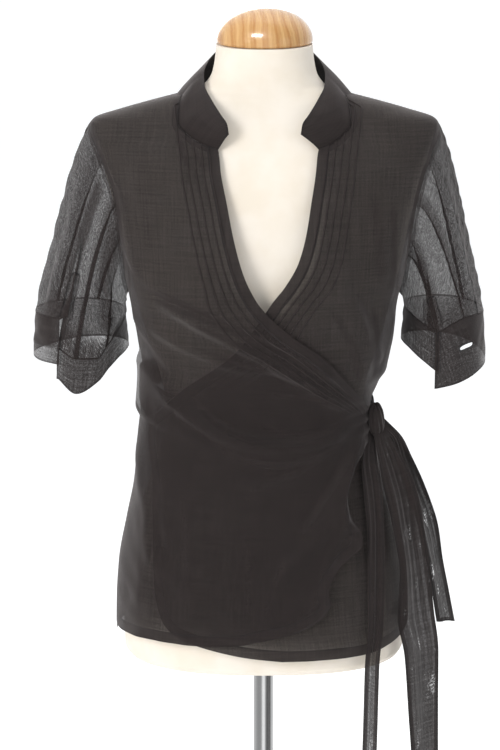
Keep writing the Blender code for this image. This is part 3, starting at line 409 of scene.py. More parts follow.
# Stand of the dress form
NECK_CAP = (0.0565, 0.0410, 0.0035)  # radius, height and rounding of its lower edge
POLE_RADIUS = 0.0125
BASE_RADIUS = 0.175
BASE_HEIGHT = 0.012
BASE_BOSS = (0.026, 0.022)  # radius and height above the plate
TOUCH = 0.0003  # between two hard pieces that touch

# Finer folds, as bowed lines in the front or back view. Lean makes one side steeper, and plies
# is how much more cloth is counted along the line: partly cloth folded together, partly painted shade on the
# crease's steeper side.
CREASE_COLUMNS = ("x0", "z0", "x1", "z1", "bow", "height", "width", "lean", "plies")
RIGHT_CREASES = (
    (-0.161, 1.2518, 0.1108, 1.1137, 0.0215, 0.0026, 0.0042, 0.35, 0.7),
    (-0.1499, 1.2335, 0.1085, 1.1183, 0.0122, 0.0022, 0.0036, -0.3, 0.6),
    (-0.1127, 1.229, 0.0286, 1.1624, 0.0092, 0.0016, 0.0028, 0.3, 0.5),
    (-0.0914, 1.2084, 0.04, 1.1485, 0.0026, 0.002, 0.0034, -0.35, 0.6),
    (-0.0893, 1.1866, 0.0743, 1.1276, 0.0026, 0.0016, 0.0036, 0.3, 0.4),
    (-0.1637, 1.213, -0.101, 1.1346, 0.0032, 0.0016, 0.0045, 0.3, 0.4),
    (-0.101, 1.1346, 0.1122, 1.0962, -0.054, 0.003, 0.0046, -0.35, 0.7),
    (-0.0739, 1.0857, 0.1088, 1.0903, -0.0424, 0.002, 0.005, 0.3, 0.4),
    (-0.0168, 1.095, 0.1109, 1.1043, -0.019, 0.0016, 0.0036, 0.3, 0.5),
    (-0.0077, 1.1253, 0.1109, 1.1102, -0.0029, 0.0015, 0.0034, -0.3, 0.4),
    (0.1113, 1.0716, 0.0364, 0.9472, 0.0044, 0.003, 0.006, 0.35, 0.5),
    (0.1114, 1.0646, 0.0849, 0.9472, -0.0042, 0.0026, 0.0046, -0.35, 0.7),
    (0.1126, 1.0599, 0.1009, 0.9675, -0.0015, 0.0022, 0.0034, 0.3, 0.7),
    (0.1089, 1.0763, -0.0341, 1.0009, 0.0139, 0.0018, 0.007, 0.3, 0.3),
    (0.085, 0.9293, 0.0298, 0.8471, 0.0079, 0.0016, 0.006, 0.3, 0.3),
    (0.041, 0.9472, 0.0065, 0.8471, -0.0061, 0.0014, 0.008, 0.3, 0.2),
    (-0.1307, 1.1241, -0.1205, 0.9771, -0.0073, 0.002, 0.005, -0.3, 0.4),
    (-0.1218, 1.095, -0.1024, 0.9293, -0.0065, 0.0016, 0.006, 0.3, 0.3),
    (-0.1436, 0.9771, -0.1449, 0.8568, 0.0058, 0.0016, 0.008, 0.3, 0.2),
    (-0.0857, 1.0245, -0.0866, 0.8629, 0.0069, 0.0014, 0.01, 0.3, 0.2),
    (-0.0399, 0.9771, -0.0331, 0.8507, 0.0059, 0.0012, 0.01, -0.3, 0.2),
    (-0.0964, 1.4293, -0.0821, 1.3778, -0.0035, 0.0016, 0.0026, 0.4, 1.0),
    (-0.0819, 1.4181, -0.0652, 1.3778, -0.0026, 0.0013, 0.0024, 0.4, 0.8),
    (-0.1293, 1.4002, -0.1191, 1.2756, -0.0029, 0.0008, 0.008, 0.2, 0.1),
    (-0.1634, 1.3665, -0.1512, 1.2527, 0.0, 0.0012, 0.006, 0.3, 0.4),
    (-0.175, 1.3439, -0.1421, 1.2504, -0.0046, 0.0014, 0.0034, 0.3, 0.6),
)
LEFT_CREASES = (
    (0.0741, 1.2312, 0.1139, 1.1199, 0.0084, 0.0014, 0.004, 0.3, 0.4),
    (0.0989, 1.2427, 0.1219, 1.1176, 0.0049, 0.0016, 0.0046, -0.3, 0.5),
    (0.1252, 1.2312, 0.1254, 1.1176, 0.0063, 0.0016, 0.004, 0.3, 0.5),
    (0.1445, 1.2312, 0.1322, 1.1246, 0.0051, 0.0014, 0.0036, -0.3, 0.5),
    (0.0954, 1.3731, 0.0988, 1.2598, 0.0033, 0.0008, 0.008, 0.2, 0.1),
    (0.1293, 1.3562, 0.1375, 1.2427, 0.0011, 0.0012, 0.006, 0.3, 0.3),
    (0.1497, 1.345, 0.149, 1.2312, 0.0011, 0.0014, 0.004, 0.3, 0.5),
    (0.125, 1.05, 0.148, 0.9, 0.006, 0.0016, 0.007, 0.3, 0.3),
)
BACK_CREASES = (
    (0.135, 1.21, 0.06, 1.13, 0.006, 0.0016, 0.005, 0.3, 0.4),
    (-0.138, 1.22, -0.07, 1.138, -0.006, 0.0018, 0.005, -0.3, 0.4),
    (0.09, 1.33, 0.125, 1.23, -0.006, 0.0016, 0.006, 0.3, 0.3),
    (-0.095, 1.34, -0.128, 1.235, 0.006, 0.0014, 0.006, -0.3, 0.3),
    (0.045, 1.235, 0.05, 1.13, 0.002, 0.0016, 0.005, 0.3, 0.4),
    (-0.01, 1.21, -0.005, 1.132, 0.002, 0.0014, 0.0044, -0.3, 0.3),
    (-0.07, 1.22, -0.062, 1.136, 0.003, 0.0018, 0.0052, 0.3, 0.4),
    (0.085, 1.05, 0.1, 0.93, 0.004, 0.0016, 0.006, 0.3, 0.3),
    (0.045, 1.055, 0.048, 0.91, 0.003, 0.0018, 0.007, -0.3, 0.3),
    (-0.008, 1.06, -0.01, 0.93, 0.002, 0.0014, 0.006, 0.3, 0.3),
    (-0.062, 1.064, -0.068, 0.92, 0.004, 0.0016, 0.007, 0.3, 0.3),
    (-0.112, 1.07, -0.126, 0.94, 0.003, 0.0016, 0.006, -0.3, 0.3),
    (0.03, 1.39, 0.012, 1.3, -0.005, 0.0008, 0.009, 0.2, 0.1),
    (-0.04, 1.395, -0.03, 1.29, 0.005, 0.0008, 0.01, 0.2, 0.1),
)

# Knife pleats down a sleeve: their angle round the arm at the armhole and at the cuff, in degrees
PLEAT_COLUMNS = ("top", "bottom", "width", "start", "end", "reach", "height")
RIGHT_PLEATS = (
    (70, 67, 5, 0.05, 1.0, 2.0, 0.002),
    (86, 88, 11, 0.05, 1.0, 2.0, 0.0026),
    (120, 128, 8, 0.3, 1.0, 1.9, 0.002),
    (246, 252, 9, 0.2, 1.0, 1.9, 0.0024),
    (300, 306, 9, 0.2, 1.0, 1.9, 0.0024),
)
LEFT_PLEATS = (
    (88, 66, 6, 0.1, 1.0, 2.0, 0.0022),
    (122, 104, 9, 0.1, 1.0, 2.0, 0.0026),
    (54, 38, 6, 0.3, 1.0, 1.8, 0.0018),
    (246, 252, 9, 0.2, 1.0, 1.9, 0.0024),
    (300, 306, 9, 0.2, 1.0, 1.9, 0.0024),
)

# Bands of a sleeve's front where more plies are counted: partly cloth that lies folded, partly painted
# shade.
# Angle at the armhole and at the cuff, half width, heights from (0 is the armhole) and how many plies more
SHADE_COLUMNS = ("top", "bottom", "half", "start", "end", "plies")
RIGHT_SHADES = (
    (84, 84, 7, -0.2, 1.2, 1.7),
    (66, 66, 5, 0.1, 1.2, 1.6),
    (96, 135, 14, -0.2, 0.9, 1.3),
    (40, 40, 18, -0.2, 1.2, 0.45),
    (250, 256, 9, -0.2, 1.2, 0.8),
    (305, 312, 10, -0.2, 1.2, 0.8),
    (100, 100, 62, 0.80, 1.4, 2.6),
)
LEFT_SHADES = (
    (85, 62, 6, -0.2, 1.2, 1.1),
    (120, 100, 9, -0.2, 1.2, 1.1),
    (52, 36, 5, 0.2, 1.2, 0.9),
    (250, 256, 9, -0.2, 1.2, 0.8),
    (305, 312, 10, -0.2, 1.2, 0.8),
    (90, 90, 60, 0.80, 1.4, 1.0),
    (5, 5, 52, -0.2, 1.2, 0.5),
    (165, 155, 30, -0.2, 1.4, 0.7),
)

# The same for the cuffs, partly folded cloth and partly painted shade, whose heights run from their top edge
CUFF_SHADES = {
    "cuff_right": ((108, 108, 46, -0.3, 1.3, 1.7), (32, 32, 34, -0.3, 0.72, 3.0)),
    "cuff_left": (
        (80, 80, 52, -0.3, 1.3, 2.2),
        (395, 395, 26, -0.3, 0.62, 2.6),
        (150, 150, 46, -0.3, 1.3, 1.8),
    ),
}

# Grids: rows and columns of each kind of piece
FRONT_ROWS = 260  # the back's too
FRONT_COLUMNS = 100  # from the side seam to the tucks
BACK_COLUMNS = 190
COLLAR_GRID = (30, 150)  # the columns are those of one half
SLEEVE_ACROSS = 300
SLEEVE_DOWN = 120
CUFF_GRID = (26, 260)  # the rows are those above the buttonhole, and as many lie below it
RIM_GRID = (240, 10)  # along the buttonhole's stitching and round its thread
KNOT_GRID = (90, 140)
SASH_GRID = (44, 460)
TIE_GRID = (300, 64)
TORSO_GRID = (340, 240)

# Finer sizes of the looks
TUCK_HALF = 0.0008  # of a pintuck's bell, from its crest
TUCK_PLIES = 1.6  # more cloth that lies in a pintuck
SASH_Z = 1.110  # where the sash presses the back's creases flat
BELOW_SHOULDER = (-1.425, -1.39)  # minus the heights between which crinkles fade out upward
CRINKLE_FLOOR = -0.0004  # deepest that a crinkle goes into the cloth under it
GATHER_RISE = 0.0034  # of the right front's edge, where the knot draws it together
GATHER_PITCH = 0.0135
EDGE_FLARES = (  # height, spread, rise and reach from the right front's edge of its flared parts
    (0.952, 0.026, 0.01, 0.034),
    (0.893, 0.018, 0.006, 0.026),
)
SLIT_FROM = 0.74  # where down the sleeve its slit starts
SLIT_LIP = 0.0012  # how far the slit's outer edge stands off
SLEEVE_FOLD_SHARE = 0.7  # of the frame's folds that the sleeve of the looks keeps
SLEEVE_PLEAT_SHARE = 0.6
SLUBS = 0.30  # how much the slubs vary the light that passes
SEAM_STITCHES = 0.0012  # from a seam to its stitches
COLLAR_PLIES = 1.6
CUFF_PLIES = 0.25
KNOT_PLIES = 3.0
SLIT_LAP = 10.0  # degrees that a slit's outer edge lies over the inner one, where it starts
CREASE_DEPTH = 1.2  # of the creases' heights
CREASE_SPREAD = 2.1  # and of their widths
UNDER_THINNED = 0.4  # plies that the left front counts less under the right one, below the waist
SIDE_THICKENED = 0.3  # and that the right front counts more beside it, to soften the step
PLEAT_KEPT = 0.62  # part of a pleat's reach that is there at the armhole

# Camera and studio
CAMERA_PLACE = (-0.0168, -2.356, 1.581)
CAMERA_TURN = 79.0
CAMERA_LENS = 96.0
FLOOR_HALF = 30.0
WORLD_SEEN = 1.05  # strength of the white that the camera sees
WORLD_SOFT = 0.75  # of the light that falls on the cloth
WORLD_GLOSS = 0.9  # and of the tones that shiny things show
STUDIO_BANDS = (  # degrees round the stand, 0 toward the camera and more to its right, and the tone there
    (-180, 1.1), (-144, 0.96), (-118, 0.64), (-99, 0.6), (-84, 0.46), (-60, 0.38), (-33, 0.39),
    (-22, 0.54), (-13, 1.15), (9, 1.18), (14, 0.95), (23, 0.38), (36, 0.17), (57, 0.19), (84, 0.32),
    (99, 0.74), (118, 0.86), (144, 1.12), (180, 1.1),
)
VARNISH_PLACE = (-0.66, -1.83, 3.10)  # of the soft box that the cap's varnish shows
VARNISH_TARGET = (0.0, 0.0, 1.53)
VARNISH_SIZE = (1.0, 0.6)
VARNISH_POWER = 50.0
STUDIO_LIGHTS = (  # name, place, target, size, share of the key's power, colour
    ("key", (-2.1, -2.2, 2.2), (0.0, 0.0, 1.2), 1.3, 1.7, (1.0, 0.985, 0.96)),
    ("fill", (2.2, -1.9, 1.8), (0.0, 0.0, 1.1), 1.8, 0.13, (1.0, 0.98, 0.96)),
    ("top", (0.1, 0.5, 3.2), (0.0, 0.0, 1.3), 1.6, 0.7, (1.0, 1.0, 1.0)),
    ("rim", (-0.6, 2.6, 2.0), (0.0, 0.0, 1.2), 1.8, 0.5, (1.0, 1.0, 1.0)),
)


def curve(rows, columns, key, name):
    """A smooth function through a table: cubic between rows, and level at each turning point."""
    x = np.array([row[columns.index(key)] for row in rows], float)
    y = np.array([row[columns.index(name)] for row in rows], float)
    step = np.diff(x)
    slope = np.diff(y) / step
    tangent = np.zeros_like(y)
    tangent[0], tangent[-1] = slope[0], slope[-1]
    same = slope[:-1] * slope[1:] > 0
    both = np.where(same, slope[:-1] + slope[1:], 1.0)
    tangent[1:-1] = np.where(same, 2 * slope[:-1] * slope[1:] / both, 0.0)

    def value(at):
        at = np.clip(np.asarray(at, float), x[0], x[-1])
        i = np.clip(np.searchsorted(x, at, side="right") - 1, 0, len(x) - 2)
        t = (at - x[i]) / step[i]
        level = y[i] * (1 + 2 * t) * (1 - t) ** 2 + y[i + 1] * t * t * (3 - 2 * t)
        return level + step[i] * t * (1 - t) * ((1 - t) * tangent[i] - t * tangent[i + 1])

    return value


def curves(rows, columns, key):
    """One smooth function for each column of a table but its key."""
    return {name: curve(rows, columns, key, name) for name in columns if name != key}


BODICE_CURVES = curves(BODICE, BODICE_COLUMNS, "z")
FORM_CURVES = curves(FORM, FORM_COLUMNS, "z")
RIGHT_EDGE_X = curve(RIGHT_EDGE, EDGE_COLUMNS, "z", "x")
LEFT_EDGE_X = curve(LEFT_EDGE, EDGE_COLUMNS, "z", "x")


def named(rows, columns):
    """A table's rows, each as a dictionary by its columns' names."""
    return [dict(zip(columns, row)) for row in rows]


def smooth_step(x, low, high):
    t = np.clip((np.asarray(x, float) - low) / (high - low), 0, 1)
    return t * t * (3 - 2 * t)


def unit(vectors):
    return vectors / np.linalg.norm(vectors, axis=-1, keepdims=True)


def oval(phi, right, left, front, back):
    """A point of an oval section: phi 0 is the front, and +90 degrees the wearer's left."""
    s, c = np.sin(phi), np.cos(phi)
    power = 2 / CORNER
    x = np.where(s > 0, left, right) * np.sign(s) * np.abs(s) ** power
    y = -np.where(c > 0, front, back) * np.sign(c) * np.abs(c) ** power
    return x, y


def bust_rise(x, z, bust):
    at_x, at_z, spread, rise = bust
    return rise * np.exp(-(((np.abs(x) - at_x) / spread) ** 2) - ((z - at_z) / spread) ** 2)


def bodice_surface(phi, z):
    """The surface that the innermost cloth of the bodice lies on."""
    phi, z = np.broadcast_arrays(np.asarray(phi, float), np.asarray(z, float))
    half = {name: value(z) for name, value in BODICE_CURVES.items()}
    x, y = oval(phi, half["right"], half["left"], half["front"], half["back"])
    y = y - bust_rise(x, z, CLOTH_BUST) * np.clip(np.cos(phi), 0, 1)
    return np.stack([x, y, z], axis=-1)


def form_surface(phi, z):
    """The dress form's skin, whose neck leans until its top slopes by NECK_TILT."""
    phi, z = np.broadcast_arrays(np.asarray(phi, float), np.asarray(z, float))
    half = {name: value(z) for name, value in FORM_CURVES.items()}
    x, y = oval(phi, half["half"], half["half"], half["front"], half["back"])
    y = y - bust_rise(x, z, FORM_BUST) * np.clip(np.cos(phi), 0, 1)
    tilt = smooth_step(z, NECK_TILT_FROM, FORM[-1][0]) * math.tan(NECK_TILT)
    return np.stack([x, y, z + y * tilt], axis=-1)


def normals_of(surface, first, second):
    """Unit normals of a two-parameter surface, from small steps both ways."""
    turn, rise = 2e-3, 2e-4
    along = surface(first + turn, second) - surface(first - turn, second)
    up = surface(first, second + rise) - surface(first, second - rise)
    return unit(np.cross(along, up))


def phi_at(x, z):
    """The angle in the front half where the bodice section at z has this x."""
    x = np.asarray(x, float)
    half = np.where(x > 0, BODICE_CURVES["left"](z), BODICE_CURVES["right"](z))
    return np.sign(x) * np.arcsin(np.clip(np.abs(x) / half, 0, 1) ** (CORNER / 2))


def armhole_inset(z, most):
    """How far the armhole stands in from the side, as an angle: most halfway up, none at its ends."""
    share = np.clip((z - UNDERARM_Z) / (SHOULDER_Z - UNDERARM_Z), 0, 1)
    return most * np.sin(math.pi * share) ** 0.62


def seam_angle(z, depth_of):
    """The angle that half a seam's gap takes at the side of a section."""
    return (SEAM / 2 / depth_of(z)) ** (CORNER / 2)


def overlap_lift(x, z, phi):
    """The right front rises off the surface where it crosses the left one, and at the tie's opening."""
    reference = np.where(z < LIFT_BELOW, LIFT_FROM, LEFT_EDGE_X(z))
    near = smooth_step(x - reference, -0.030, -0.006)
    near = near * smooth_step(-z, -(WRAP_Z + 0.075), -(WRAP_Z + 0.010))
    near = np.where(x < 0, near * smooth_step(-np.abs(phi), math.radians(-87), math.radians(-60)), near)
    side_x = -BODICE_CURVES["right"](z)
    off = np.abs(z - TIE_SLIT_Z + TIE_SLIT_SLOPE * (x - side_x)) - TIE_SLIT_HALF
    lip = smooth_step(-off, -TIE_SLIT_RAMP, 0.0) * smooth_step(-x, 0.085, 0.110)
    return np.maximum(OVERLAP_LIFT * near, TIE_SLIT_LIFT * lip)


def neck_seam(t, side):
    """Angle and height along half the neck seam: t 0 is the front end, and 1 the middle back."""
    edge_x = RIGHT_EDGE_X if side < 0 else LEFT_EDGE_X
    z = np.where(t < COLLAR_SHARE, COLLAR_FRONT_Z + (NECK_Z - COLLAR_FRONT_Z) * t / COLLAR_SHARE, NECK_Z)
    start = np.abs(phi_at(edge_x(z), z))
    past = np.clip((t - COLLAR_SHARE) / (1 - COLLAR_SHARE), 0, 1)
    return side * (start + (math.pi - start) * past), z


def armhole(angle, side):
    """Outer corner of the bodice along the armhole, its normal, and the way into the hole."""

    def at(turn):
        share = (1 + np.cos(turn)) / 2
        z = UNDERARM_Z + (SHOULDER_Z - UNDERARM_Z) * share
        front_half = np.sin(turn) > 0
        inset = np.where(front_half, -armhole_inset(z, ARMHOLE_FRONT), armhole_inset(z, ARMHOLE_BACK))
        return side * (math.pi / 2 + inset), z

    phi, z = at(angle)
    normal = normals_of(bodice_surface, phi, z)
    outer = bodice_surface(phi, z) + normal * CLOTH
    along = unit(bodice_surface(*at(angle + 0.01)) - bodice_surface(*at(angle - 0.01)))
    return outer, normal, side * unit(np.cross(normal, along))


def cuff_ring(angle, arm, side, grow=0.0):
    """A point of the cuff's oval in plan, grown outward, with its outward direction."""
    outward = np.stack([side * np.cos(angle), -np.sin(angle)], axis=-1)
    centre = np.array([side * arm["centre"][0], arm["centre"][1]])
    return centre + outward * (np.array(arm["radii"]) + grow), outward


def sleeve_surface(arm, side):
    """The sleeve's outer face: a cubic from the armhole to the cuff for each angle round the arm."""
    first_turn, last_turn = (math.radians(value) for value in SLEEVE_SEAM_TURN)
    edges = curves(arm["cuff"], CUFF_COLUMNS, "angle")

    def surface(angle, w):
        angle, w = np.broadcast_arrays(np.asarray(angle, float), np.asarray(w, float))
        corner, normal, inward = armhole(angle, side)
        low = ((1 - np.cos(angle)) / 2)[..., None]
        turn = first_turn + (last_turn - first_turn) * low
        leave = np.sin(turn) * normal + np.cos(turn) * inward
        start = corner + SLEEVE_SEAM * leave
        plan, _ = cuff_ring(angle, arm, side)
        end = np.concatenate([plan, (edges["top"](np.degrees(angle)) + CUFF_SEAM)[..., None]], axis=-1)
        reach = np.linalg.norm(end - start, axis=-1, keepdims=True)
        arrive = unit(np.stack([side * SLEEVE_LEAN * (1 - low[..., 0]), 0 * angle, -1 + 0 * angle], axis=-1))
        first = start + leave * (0.06 * reach + 0.003)
        second = end - arrive * 0.38 * reach
        w = w[..., None]
        return (
            start * (1 - w) ** 3 + first * 3 * w * (1 - w) ** 2 + second * 3 * w**2 * (1 - w) + end * w**3
        )

    return surface


def knot_place():
    """The knot's angle on the bodice, its middle, and its outward, waist and up directions."""
    speed = np.linalg.norm(bodice_surface(1.2, KNOT_Z) - bodice_surface(1.1, KNOT_Z)) / 0.1
    phi = float(phi_at(RIGHT_EDGE_X(KNOT_Z), KNOT_Z)) + KNOT_STEP / speed
    normal = normals_of(bodice_surface, np.array(phi), np.array(KNOT_Z))
    outward = unit(np.array([normal[0], normal[1], 0.0]))
    along = np.array([-outward[1], outward[0], 0.0])
    middle = bodice_surface(phi, KNOT_Z) + outward * (CLOTH + SEAM + KNOT_RADII[0])
    return phi, speed, middle, np.array([outward, along, [0.0, 0.0, 1.0]])


def fine(rows, count):
    """Count values from a table's first row to its last, as close together as its rows are."""
    rows = np.asarray(rows, float)
    return np.interp(np.linspace(0, len(rows) - 1, count), np.arange(len(rows)), rows)


def line_offsets(x, z, row):
    """Where points lie by a bowed line: how far along it (0 to 1), and the signed distance across.

    The line is a quadratic curve through both ends, whose middle stands off by bow.
    """
    start, end = np.array([row["x0"], row["z0"]]), np.array([row["x1"], row["z1"]])
    along = unit(end - start)
    middle = (start + end) / 2 + 2 * row["bow"] * np.array([-along[1], along[0]])
    t = np.linspace(0, 1, 41)
    line = np.outer((1 - t) ** 2, start) + np.outer(2 * t * (1 - t), middle) + np.outer(t**2, end)
    slope = np.gradient(line, axis=0)
    pace = np.linalg.norm(slope, axis=1)
    points = np.stack([x, z], axis=-1)[..., None, :]
    nearest = np.argmin(np.sum((points - line) ** 2, axis=-1), axis=-1)
    gap = points[..., 0, :] - line[nearest]
    way = (slope / pace[:, None])[nearest]
    ahead = np.sum(gap * way, axis=-1)
    across = way[..., 0] * gap[..., 1] - way[..., 1] * gap[..., 0]
    share = t[nearest] + ahead / pace[nearest] * (t[1] - t[0])
    beyond = np.maximum(np.maximum(-share, share - 1), 0) * pace.mean() * (len(t) - 1)
    return np.clip(share, 0, 1), np.sign(across) * np.hypot(across, beyond)


def fold_field(x, z, folds):
    """Heights of soft ridges: a bell curve across each line, faded at both ends. The tallest counts."""
    heights = np.zeros_like(x)
    for fold in named(folds, FOLD_COLUMNS):
        share, across = line_offsets(x, z, fold)
        fade = smooth_step(share, 0.0, 0.22) * smooth_step(-share, -1.0, -0.80)
        heights = np.maximum(heights, fold["height"] * fade * np.exp(-((across / fold["width"]) ** 2)))
    return heights


def crease_field(x, z, creases):
    """Heights and added plies of finer folds: a bell curve with one side steeper, summed. The plies paint
    shade on each crease's steeper side, besides counting folded cloth.
    """
    heights, plies = np.zeros_like(x), np.zeros_like(x)
    for crease in named(creases, CREASE_COLUMNS):
        share, across = line_offsets(x, z, crease)
        fade = smooth_step(share, 0.0, 0.25) * smooth_step(-share, -1.0, -0.78)
        width = CREASE_SPREAD * crease["width"] * (1 + crease["lean"] * np.tanh(across / 0.002) * 1.6)
        bell = np.exp(-((across / width) ** 2))
        heights += CREASE_DEPTH * crease["height"] * fade * bell
        side = across / (1.5 * crease["width"]) * np.sign(crease["lean"])
        # painted shade: plies added just off the crease on its steeper side darken the cloth there, besides
        # the cloth folded in it
        plies = np.maximum(plies, crease["plies"] * fade * np.exp(-(((side + 0.75) / 0.50) ** 2)))
    return heights, plies


def crinkle(u, v, seed, size):
    """A sum of plane waves in random directions, with lengths about size and a usual height of 1."""
    rng = np.random.default_rng(seed)
    total = np.zeros_like(u + v)
    for _ in range(14):
        turn, length, phase = rng.uniform(0, 2 * math.pi), size * rng.uniform(0.6, 1.7), rng.uniform(0, 6.28)
        total += np.sin(2 * math.pi * (u * math.cos(turn) + v * math.sin(turn)) / length + phase)
    return total * math.sqrt(2 / 14)


def lengths_along(grid, axis):
    """Running length of a grid's lines along one axis, from 0."""
    steps = np.linalg.norm(np.diff(grid, axis=axis), axis=-1)
    start = np.zeros_like(np.take(steps, [0], axis=axis))
    return np.cumsum(np.concatenate([start, steps], axis=axis), axis=axis)


def distance_map(grid, line):
    """Each point's distance from a line of points, and how far along it the nearest one lies."""
    run = lengths_along(line[:, None], 0)[:, 0]
    at = np.arange(0, run[-1], 0.001)
    dense = np.stack([np.interp(at, run, line[:, k]) for k in range(3)], axis=-1)
    points = grid.reshape(-1, 3)
    distance, where = np.empty(len(points)), np.empty(len(points))
    square = np.sum(dense**2, axis=1)
    for block in np.array_split(np.arange(len(points)), max(1, len(points) // 4000)):
        gaps = np.sum(points[block] ** 2, axis=1)[:, None] + square - 2 * points[block] @ dense.T
        nearest = np.argmin(gaps, axis=1)
        distance[block] = np.sqrt(np.maximum(gaps[np.arange(len(block)), nearest], 0))
        where[block] = at[nearest]
    return distance.reshape(grid.shape[:2]), where.reshape(grid.shape[:2])


def outward_of(grid, away):
    """Unit normals of a grid of points, from its neighbours, on the side that away points to."""
    normal = np.cross(np.gradient(grid, axis=1), np.gradient(grid, axis=0))
    normal = normal / np.maximum(np.linalg.norm(normal, axis=-1, keepdims=True), 1e-12)
    return normal * np.sign(np.sum(normal * away))


def mesh_object(name, points, faces, weld=False):
    """An object of these points and faces, shaded smooth; weld makes points at one place one."""
    mesh = bpy.data.meshes.new(name)
    mesh.from_pydata(points.tolist(), [], faces.tolist())
    made = bpy.data.objects.new(name, mesh)
    bpy.context.scene.collection.objects.link(made)
    if weld:
        weld_points(mesh)
    mesh.shade_smooth()
    return made


def weld_points(mesh):
    """Points nearer than a thousandth of a millimetre made one, and faces without area dropped."""
    shape = bmesh.new()
    shape.from_mesh(mesh)
    bmesh.ops.remove_doubles(shape, verts=shape.verts, dist=1e-6)
    bmesh.ops.dissolve_degenerate(shape, edges=shape.edges, dist=1e-7)
    shape.to_mesh(mesh)
    shape.free()


def grid_faces(rows, columns, round_it=False):
    """Quads between neighbouring rows and columns of a grid; round_it joins the last column to the first."""
    index = np.arange(rows * columns).reshape(rows, columns)
    if round_it:
        index = np.concatenate([index, index[:, :1]], axis=1)
    return np.stack([index[:-1, :-1], index[:-1, 1:], index[1:, 1:], index[1:, :-1]], axis=-1)


def facing(grid, quads, away):
    """The quads, turned so that they face the side that away points to."""
    points, flat = grid.reshape(-1, 3), away.reshape(-1, 3)
    quads = quads.reshape(-1, 4)
    a, b, d = points[quads[:, 0]], points[quads[:, 1]], points[quads[:, 3]]
    out = np.sum(np.cross(b - a, d - a) * flat[quads[:, 0]])
    return quads if out > 0 else quads[:, ::-1]


def cloth(name, grid, away, maps, finish, join=None, keep=None, weld=False):
    """A sheet of cloth through a grid of points, with its maps kept on the points.

    The maps across and up are the cloth's own lengths in metres, and become its UV map. join
    says between which rows the last column meets the first, and keep which cells are there.
    """
    rows, columns = grid.shape[:2]
    cells = grid_faces(rows, columns)
    quads = cells[keep] if keep is not None else cells.reshape(-1, 4)
    if join is not None:
        ends = grid_faces(rows, columns, True)[join[0] : join[1], -1]
        quads = np.concatenate([quads, ends])
    made = mesh_object(name, grid.reshape(-1, 3), facing(grid, quads, away))
    mesh = made.data
    corner = np.empty(len(mesh.loops), np.int32)
    mesh.loops.foreach_get("vertex_index", corner)
    place = np.stack([maps["across"].ravel(), maps["up"].ravel()], axis=-1)[corner]
    mesh.uv_layers.new(name="cloth").data.foreach_set("uv", place.astype(np.float32).ravel())
    for key in ("hem", "seam", "run", "plies_and_shade"):
        values = np.broadcast_to(maps.get(key, 0.0), (rows, columns)).astype(np.float32)
        mesh.attributes.new(key, "FLOAT", "POINT").data.foreach_set("value", values.ravel())
    if weld:
        weld_points(mesh)
    mesh.materials.append(finish)
    return made


def turned(name, profile, sides, finish, place=None):
    """A solid turned about Z from its profile of (radius, z), which starts and ends on the axis."""
    angle = np.arange(sides) * 2 * math.pi / sides
    radius, z = np.asarray(profile, float).T
    points = np.stack(
        [radius[:, None] * np.cos(angle), radius[:, None] * np.sin(angle), z[:, None] + 0 * angle], axis=-1
    )
    if place is not None:
        points = place(points)
    away = points - points.reshape(-1, 3).mean(axis=0)
    quads = facing(points, grid_faces(len(radius), sides, True), away)
    made = mesh_object(name, points.reshape(-1, 3), quads, weld=True)
    made.data.materials.append(finish)
    return made


def rounded(points, radius, steps=6):
    """A profile whose inner corners are cut by an arc that starts and ends radius away from each."""
    points = [np.array(p, float) for p in points]
    result = [points[0]]
    for before, corner, after in zip(points, points[1:], points[2:]):
        into, out = corner - before, after - corner
        cut = min(radius, 0.45 * np.linalg.norm(into), 0.45 * np.linalg.norm(out))
        first, last = corner - unit(into) * cut, corner + unit(out) * cut
        for t in np.linspace(0, 1, steps):
            result.append(first * (1 - t) ** 2 + 2 * corner * t * (1 - t) + last * t**2)
    return np.array(result + [points[-1]])


class Net:
    """A node tree with short calls to add nodes and join their sockets."""

    def __init__(self, tree):
        self.tree = tree

    def node(self, kind, inputs=None, **settings):
        made = self.tree.nodes.new(kind)
        for key, value in settings.items():
            setattr(made, key, value)
        self.fill(made, inputs or {})
        return made

    def fill(self, node, inputs):
        """Gives each named input of a node its value or link."""
        for key, value in inputs.items():
            self.give(node.inputs[key], value)

    def give(self, socket, value):
        if isinstance(value, bpy.types.NodeSocket):
            self.tree.links.new(value, socket)
        else:
            socket.default_value = value

    def math(self, operation, *values, clamp=False):
        made = self.tree.nodes.new("ShaderNodeMath")
        made.operation, made.use_clamp = operation, clamp
        for socket, value in zip(made.inputs, values):
            self.give(socket, value)
        return made.outputs[0]

    def ramp(self, value, low, high, start=0.0, end=1.0):
        """A smooth step from start to end as value goes from low to high."""
        made = self.node(
            "ShaderNodeMapRange",
            {"Value": value, "From Min": low, "From Max": high, "To Min": start, "To Max": end},
            interpolation_type="SMOOTHSTEP",
        )
        return made.outputs["Result"]

    def noise(self, vector, scale, detail=2.0, rough=0.5):
        made = self.node(
            "ShaderNodeTexNoise", {"Vector": vector, "Scale": scale, "Detail": detail, "Roughness": rough}
        )
        return made.outputs["Fac"]

    def stretched(self, vector, scale):
        return self.node("ShaderNodeVectorMath", {0: vector, 1: scale}, operation="MULTIPLY").outputs[0]

    def place(self):
        return self.node("ShaderNodeTexCoord").outputs["Object"]

    def bump(self, height, strength, distance):
        made = self.node("ShaderNodeBump", {"Height": height, "Strength": strength, "Distance": distance})
        return made.outputs["Normal"]

    def group(self, name, inputs):
        return self.node("ShaderNodeGroup", inputs, node_tree=bpy.data.node_groups[name]).outputs

    def mix(self, factor, first, second):
        made = self.tree.nodes.new("ShaderNodeMix")
        made.data_type = "RGBA"
        self.give(made.inputs["Factor"], factor)
        self.give(made.inputs[6], first)
        self.give(made.inputs[7], second)
        return made.outputs[2]


